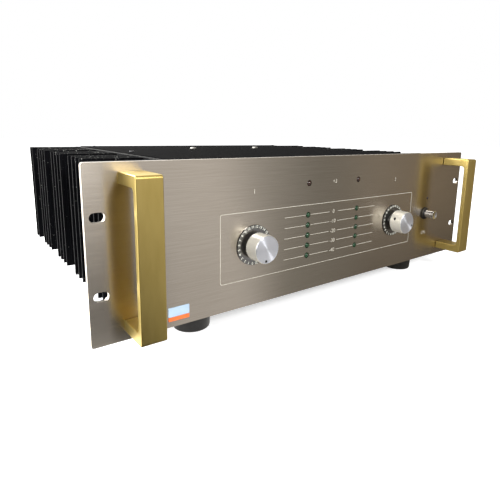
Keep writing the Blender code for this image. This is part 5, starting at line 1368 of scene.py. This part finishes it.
bevel_where(package, lambda ends: all(end.x < front + POINT_R for end in ends)
            and all(abs(end.z - TRANSISTOR_Z - 5 * MM) > 2 * MM or abs(end.y) > 2 * MM for end in ends),
            0.5 * MM, 2)
lead_x = front + 2.2 * MM
lead_z = TRANSISTOR_Z - half_h - 2.4 * MM
lead = add_box("lead", (lead_x - 0.35 * MM, -0.6 * MM, lead_z - 0.35 * MM),
               (lead_x + 0.35 * MM, 0.6 * MM, lead_z + 0.35 * MM))
choose(lead, "FACE", lambda points: all(point.z > lead_z for point in points))
bpy.ops.mesh.extrude_region_move(TRANSFORM_OT_translate={"value": (0, 0, 3 * MM)})
done_editing()
choose(lead, "FACE", lambda points: all(point.x < lead_x and point.z < lead_z + 0.4 * MM for point in points))
bpy.ops.mesh.extrude_region_move(TRANSFORM_OT_translate={"value": (BOARD_FACE_X - MM - lead_x, 0, 0)})
done_editing()
for module_y in module_ys:
    for end in (-1, 1):
        y = module_y + end * TRANSISTOR_REACH
        packages.append(copy_piece(package, "package", Matrix.Translation((0, y, 0))))
        for step in (-1, 0, 1):
            leads.append(copy_piece(lead, "lead", Matrix.Translation((0, y + step * LEAD_PITCH, 0))))
        leads.append(add_screw("screw", Matrix.Translation((front, y, TRANSISTOR_Z + 5 * MM)) @ INWARD,
                               3.0 * MM, 0, 1.6 * MM, 1.5 * MM, -4.5 * MM, 24))
for spare in (package, lead):
    bpy.data.objects.remove(spare, do_unlink=True)
packages = merge("output_transistors", packages)
leads = merge("transistor_leads_and_screws", leads)
turn_over = (Matrix.Translation((0, board_middle, 0)) @ Matrix.Rotation(math.radians(180), 4, "Z")
             @ Matrix.Translation((0, -board_middle, 0)))
for piece, material, slot, node in (
    (board, lacquer, "circuit_board", "driver_board_"),
    (relays, moulded_black, "black_plastic", None),
    (cans, sleeve, "capacitor_sleeve", None),
    (packages, moulded_black, "black_plastic", None),
    (leads, zinc, "plated_steel", None),
):
    name = piece.name
    other = copy_piece(piece, name + "_left", turn_over)
    piece.name = name + "_right"
    finish(piece, material, "chassis", slot, *([node + "right"] if node else []))
    finish(other, material, "chassis", slot, *([node + "left"] if node else []))


# Mains inlet: a moulded housing with a flange and three flat plated pins, held to
# the rear panel by two screws.
REAR_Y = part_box("rear_panel")[1].y
INLET_FLANGE_T = 2.5 * MM
INLET_BODY_W, INLET_BODY_H = 28.0 * MM, 20.5 * MM
INLET_MOUTH_W, INLET_MOUTH_H, INLET_MOUTH_D = 24.6 * MM, 16.8 * MM, 17.0 * MM
INLET_CORNER = 4.2 * MM
INLET_SCREW_X = 20.0 * MM
PIN_SIZE = (2.0 * MM, 14.0 * MM, 4.0 * MM)
PIN_PLACES = ((-7.0 * MM, -1.5 * MM), (7.0 * MM, -1.5 * MM), (0.0, 3.0 * MM))


def runs_back(ends):
    """Whether an edge runs along the unit, from front to back."""
    across = (ends[1] - ends[0]).to_3d()
    return abs(across.x) < POINT_R and abs(across.z) < POINT_R


def add_block(name, x, z, width, height, y_low, y_high):
    """A box centred on a place of the rear panel, between two depths."""
    return add_box(name, (x - width / 2, y_low, z - height / 2), (x + width / 2, y_high, z + height / 2))


inlet_low, inlet_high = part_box("mains_inlet")
INLET_X, INLET_Z = (inlet_low.x + inlet_high.x) / 2, (inlet_low.z + inlet_high.z) / 2
inlet = add_block("mains_inlet_housing", INLET_X, INLET_Z, inlet_high.x - inlet_low.x,
                  inlet_high.z - inlet_low.z, inlet_high.y - INLET_FLANGE_T, inlet_high.y)
bevel_where(inlet, runs_back, 3.5 * MM, 6)
body = add_block("body", INLET_X, INLET_Z, INLET_BODY_W, INLET_BODY_H, inlet_low.y, inlet_high.y - MM)
mouth = add_block("mouth", INLET_X, INLET_Z, INLET_MOUTH_W, INLET_MOUTH_H,
                  inlet_high.y - INLET_MOUTH_D, inlet_high.y + MM)
for part in (body, mouth):
    bevel_where(part, lambda ends: runs_back(ends) and ends[0].z > INLET_Z, INLET_CORNER, 1)
combine(inlet, "UNION", [body])
combine(inlet, "DIFFERENCE", [mouth])
inlet_screws = []
for end in (-1, 1):
    place = Matrix.Translation((INLET_X + end * INLET_SCREW_X, inlet_high.y, INLET_Z)) @ BACKWARD
    combine(inlet, "DIFFERENCE", [add_rod("hole", place, 1.7 * MM, MM, -4 * MM, 24)])
    inlet_screws.append(add_screw("screw", place, 2.9 * MM, 0, 1.4 * MM, 1.5 * MM, -6 * MM, 28))
ease_edges(inlet, 0.3 * MM)
finish(inlet, moulded_black, "chassis", "black_plastic", "mains_inlet")
finish(merge("inlet_screws", inlet_screws), black_screw, "chassis", "plated_steel")
pins = []
for across, rise in PIN_PLACES:
    pin_back = inlet_high.y - INLET_MOUTH_D
    pin = add_block("pin", INLET_X + across, INLET_Z + rise, PIN_SIZE[0], PIN_SIZE[2],
                    pin_back - MM, pin_back + PIN_SIZE[1])
    bevel_where(pin, lambda ends: all(end.y > pin_back + MM for end in ends), 0.6 * MM, 2)
    pins.append(pin)
finish(merge("inlet_pins", pins), zinc, "chassis", "plated_steel")


# Fuse holder: moulded plastic, with a ribbed and slotted cap that turns an eighth of
# a turn to come out with the fuse.
FUSE_FLANGE = (0.3 * MM, 2.3 * MM)
FUSE_BORE_R = 5.4 * MM
CAP_BACK, CAP_FACE = 2.6 * MM, 10.6 * MM
CAP_R, CAP_SHAFT_R = 6.4 * MM, 5.0 * MM
CAP_RIBS = 18
fuse_low, fuse_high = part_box("fuse_holder")
FUSE_X, FUSE_Z = (fuse_low.x + fuse_high.x) / 2, (fuse_low.z + fuse_high.z) / 2
flange_r = (fuse_high.x - fuse_low.x) / 2
place = Matrix.Translation((FUSE_X, REAR_Y, FUSE_Z)) @ BACKWARD
holder = turned("fuse_holder_body", place, (
    (0, -11.2 * MM), (FUSE_BORE_R, -11.2 * MM), (FUSE_BORE_R, FUSE_FLANGE[1] - 0.3 * MM),
    (FUSE_BORE_R + 0.3 * MM, FUSE_FLANGE[1]), (flange_r - 0.7 * MM, FUSE_FLANGE[1]),
    (flange_r - 0.2 * MM, FUSE_FLANGE[1] - 0.2 * MM), (flange_r, FUSE_FLANGE[1] - 0.8 * MM),
    (flange_r, FUSE_FLANGE[0]), (7.2 * MM, FUSE_FLANGE[0]), (7.2 * MM, -30 * MM), (0, -30 * MM),
), 64)
finish(holder, moulded_black, "chassis", "black_plastic", "fuse_holder")
cap = turned("fuse_cap_head", place, (
    (0, CAP_FACE), (CAP_R - 0.9 * MM, CAP_FACE), (CAP_R - 0.25 * MM, CAP_FACE - 0.25 * MM),
    (CAP_R, CAP_FACE - 0.9 * MM), (CAP_R, CAP_BACK + 0.3 * MM), (CAP_R - 0.3 * MM, CAP_BACK),
    (CAP_SHAFT_R, CAP_BACK), (CAP_SHAFT_R, -9.7 * MM), (0, -9.7 * MM),
), 72)
combine(cap, "DIFFERENCE", [add_block(
    "slot", FUSE_X, FUSE_Z, 2 * CAP_R + MM, 1.6 * MM, REAR_Y + CAP_FACE - 1.4 * MM, REAR_Y + CAP_FACE + MM
)])
cuts = []
for number in range(CAP_RIBS):
    turn = Matrix.Rotation(math.radians(360 / CAP_RIBS * (number + 0.5)), 4, "Z")
    seat = Matrix.Translation((CAP_R + 0.35 * MM, 0, 0))
    cuts.append(add_rod("cut", place @ turn @ seat, 0.75 * MM, CAP_FACE + MM, CAP_BACK + 2 * MM, 16))
combine(cap, "DIFFERENCE", [merge("cuts", cuts)])
finish(cap, moulded_black, "fuse_cap", "black_plastic", "fuse_cap")


# Input sockets: nickel-plated shells with a round mouth, a black insert with three
# contact holes and a latch, one for each channel, held by two screws each.
SOCKET_FLANGE_T = 1.6 * MM
SOCKET_MOUTH_R, SOCKET_MOUTH_D = 10.4 * MM, 9.0 * MM
SOCKET_BARREL_R, SOCKET_BARREL_D = 11.6 * MM, 20.0 * MM
INSERT_R = 8.4 * MM
CONTACT_CIRCLE_R = 4.3 * MM
SOCKET_SCREWS = ((-9.8 * MM, 12.2 * MM), (9.8 * MM, -12.2 * MM))
low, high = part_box("input_socket_left")
x, z = (low.x + high.x) / 2, (low.z + high.z) / 2
flange_back = high.y - SOCKET_FLANGE_T
place = Matrix.Translation((x, flange_back, z)) @ BACKWARD
shell = add_block("input_socket_shell", x, z, high.x - low.x, high.z - low.z, flange_back, high.y)
bevel_where(shell, runs_back, 2.5 * MM, 5)
combine(shell, "UNION", [add_rod("barrel", place, SOCKET_BARREL_R, 0.8 * MM, -SOCKET_BARREL_D, 72)])
combine(shell, "DIFFERENCE", [
    add_rod("mouth", place, SOCKET_MOUTH_R, 3 * MM, -SOCKET_MOUTH_D, 72),
    add_block("key", x, z - SOCKET_MOUTH_R, 3.2 * MM, 2.4 * MM, high.y - 6 * MM, high.y + MM),
])
socket_screws = []
for across, rise in SOCKET_SCREWS:
    seat = Matrix.Translation((x + across, high.y, z + rise)) @ BACKWARD
    combine(shell, "DIFFERENCE", [add_rod("hole", seat, 1.6 * MM, MM, -3 * MM, 24)])
    socket_screws.append(add_screw("screw", seat, 2.4 * MM, 0, 1.1 * MM, 1.4 * MM, -5 * MM, 24))
ease_edges(shell, 0.25 * MM)
insert = turned("input_socket_insert", place, (
    (0, -SOCKET_MOUTH_D - MM), (INSERT_R, -SOCKET_MOUTH_D - MM), (INSERT_R, 0.9 * MM),
    (INSERT_R - 0.5 * MM, 1.4 * MM), (0, 1.4 * MM),
), 64)
contacts = []
for angle in (90, 210, 330):
    turn = Matrix.Rotation(math.radians(angle), 4, "Z")
    seat = place @ turn @ Matrix.Translation((CONTACT_CIRCLE_R, 0, 0))
    combine(insert, "DIFFERENCE", [add_rod("hole", seat, 1.5 * MM, 3 * MM, -6 * MM, 24)])
    contacts.append(turned("contact", seat, (
        (0.95 * MM, -6.5 * MM), (1.4 * MM, -6.5 * MM), (1.4 * MM, -0.4 * MM),
        (1.25 * MM, -0.2 * MM), (0.95 * MM, -0.4 * MM),
    ), 24, closed=True))
latch = add_block("latch", x, z + 12.7 * MM, 7 * MM, 3 * MM, high.y - MM, high.y + 1.3 * MM)
ease_edges(latch, 0.5 * MM, 3)
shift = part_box("input_socket_right")[0] - low
for piece, material, slot, node in (
    (shell, zinc, "plated_steel", "input_socket_"),
    (insert, moulded_black, "black_plastic", None),
    (merge("input_contacts", contacts + [latch]), zinc, "plated_steel", None),
    (merge("input_socket_screws", socket_screws), black_screw, "plated_steel", None),
):
    name = piece.name
    other = copy_piece(piece, name + "_right", Matrix.Translation(shift))
    piece.name = name + "_left"
    finish(piece, material, "chassis", slot, *([node + "left"] if node else []))
    finish(other, material, "chassis", slot, *([node + "right"] if node else []))


# Loudspeaker terminals: for each channel a moulded black plate with a red and a
# black post, both fluted, round a plated stud with a bore for a plug.
TERMINAL_PLATE_T = 2.5 * MM
POST_X = 9.5 * MM
POST_R, POST_FRONT = 6.0 * MM, 9.5 * MM
STUD_R, STUD_BORE_R = 3.2 * MM, 2.0 * MM
POST_FLUTES = 12
red_moulding, shader = new_material("red_moulded_plastic")
tree = red_moulding.node_tree
grainy = noise(tree, (0.8 * MM,) * 3, 2.0)
tree.links.new(blend_colours(tree, grainy, "#8E1512", "#A51E19"), shader.inputs["Base Color"])
tree.links.new(spread(tree, grainy, 0.3, 0.42), shader.inputs["Roughness"])
low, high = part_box("output_terminals_left")
x, z = (low.x + high.x) / 2, (low.z + high.z) / 2
plate_back = REAR_Y + FUSE_FLANGE[0]
plate_face = plate_back + TERMINAL_PLATE_T
plate = add_block("output_plate", x, z, high.x - low.x, high.z - low.z, plate_back, plate_face)
bevel_where(plate, runs_back, 3 * MM, 5)
studs = []
for end in (-1, 1):
    place = Matrix.Translation((x + end * POST_X, plate_back, z)) @ BACKWARD
    combine(plate, "UNION", [add_rod("barrel", place, 4.8 * MM, MM, -16 * MM, 48)])
    combine(plate, "DIFFERENCE", [add_rod("bore", place, STUD_R - 0.05 * MM, 4 * MM, -10 * MM, 40)])
    studs.append(turned("stud", place, (
        (STUD_BORE_R, -8.5 * MM), (STUD_R, -8.5 * MM), (STUD_R, POST_FRONT - 0.7 * MM),
        (STUD_R - 0.3 * MM, POST_FRONT - 0.4 * MM), (STUD_BORE_R + 0.3 * MM, POST_FRONT - 0.4 * MM),
        (STUD_BORE_R, POST_FRONT - 0.7 * MM),
    ), 40, closed=True))
plate_screws = []
for rise in (-6.2 * MM, 6.2 * MM):
    seat = Matrix.Translation((x, plate_face, z + rise)) @ BACKWARD
    combine(plate, "DIFFERENCE", [add_rod("hole", seat, 1.4 * MM, MM, -4 * MM, 24)])
    plate_screws.append(add_screw("screw", seat, 2.1 * MM, 0, 1.0 * MM, 1.3 * MM, -6 * MM, 24))
ease_edges(plate, 0.3 * MM)
place = Matrix.Translation((x, plate_back, z)) @ BACKWARD
post = turned("output_post", place, (
    (STUD_R + 0.05 * MM, TERMINAL_PLATE_T), (POST_R - 0.4 * MM, TERMINAL_PLATE_T),
    (POST_R, TERMINAL_PLATE_T + 0.4 * MM), (POST_R, POST_FRONT - 0.7 * MM),
    (POST_R - 0.2 * MM, POST_FRONT - 0.2 * MM), (POST_R - 0.7 * MM, POST_FRONT),
    (STUD_R + 0.5 * MM, POST_FRONT), (STUD_R + 0.05 * MM, POST_FRONT - 0.4 * MM),
), 72, closed=True)
cuts = []
for number in range(POST_FLUTES):
    turn = Matrix.Rotation(math.radians(360 / POST_FLUTES * number), 4, "Z")
    seat = Matrix.Translation((POST_R + 0.5 * MM, 0, 0))
    cuts.append(add_rod("cut", place @ turn @ seat, 1.1 * MM, POST_FRONT + MM, 4.2 * MM, 20))
combine(post, "DIFFERENCE", [merge("cuts", cuts)])
red_post = copy_piece(post, "red_post", Matrix.Translation((-POST_X, 0, 0)))
black_post = copy_piece(post, "black_post", Matrix.Translation((POST_X, 0, 0)))
bpy.data.objects.remove(post, do_unlink=True)
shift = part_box("output_terminals_right")[0] - low
for piece, material, slot, node in (
    (plate, moulded_black, "black_plastic", "output_terminals_"),
    (red_post, red_moulding, "red_plastic", None),
    (black_post, moulded_black, "black_plastic", None),
    (merge("output_studs", studs), zinc, "plated_steel", None),
    (merge("output_plate_screws", plate_screws), black_screw, "plated_steel", None),
):
    name = piece.name
    other = copy_piece(piece, name + "_right", Matrix.Translation(shift))
    piece.name = name + "_left"
    finish(piece, material, "chassis", slot, *([node + "left"] if node else []))
    finish(other, material, "chassis", slot, *([node + "right"] if node else []))


# Rear panel's screws and printing: small black pan-head screws at its edges, and the
# channel numbers above the sockets and posts in white ink.
REAR_SCREW_XS = (-152.0 * MM, 152.0 * MM)
REAR_SCREW_ZS = (30.0 * MM, 82.0 * MM, 134.0 * MM)
REAR_NUMBER_SIZE = 6.0 * MM
rear_screws = []
for screw_x in REAR_SCREW_XS:
    for screw_z in REAR_SCREW_ZS:
        place = Matrix.Translation((screw_x, REAR_Y, screw_z)) @ BACKWARD
        rear_screws.append(add_screw("screw", place, 2.9 * MM, 0, 1.3 * MM, 1.5 * MM, -5 * MM, 28))
finish(merge("rear_panel_screws", rear_screws), black_screw, "chassis", "painted_steel")
rear_numbers = []
for number, (word, side) in enumerate(SIDES, 1):
    for node in ("input_socket_", "output_terminals_"):
        low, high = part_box(node + word)
        place = Matrix.Translation(((low.x + high.x) / 2, REAR_Y, high.z + 6 * MM)) @ BACKWARD
        rear_numbers.append(add_words("number", str(number), place, REAR_NUMBER_SIZE))
finish(merge("rear_numbers", rear_numbers), white_ink, "chassis", "painted_steel")
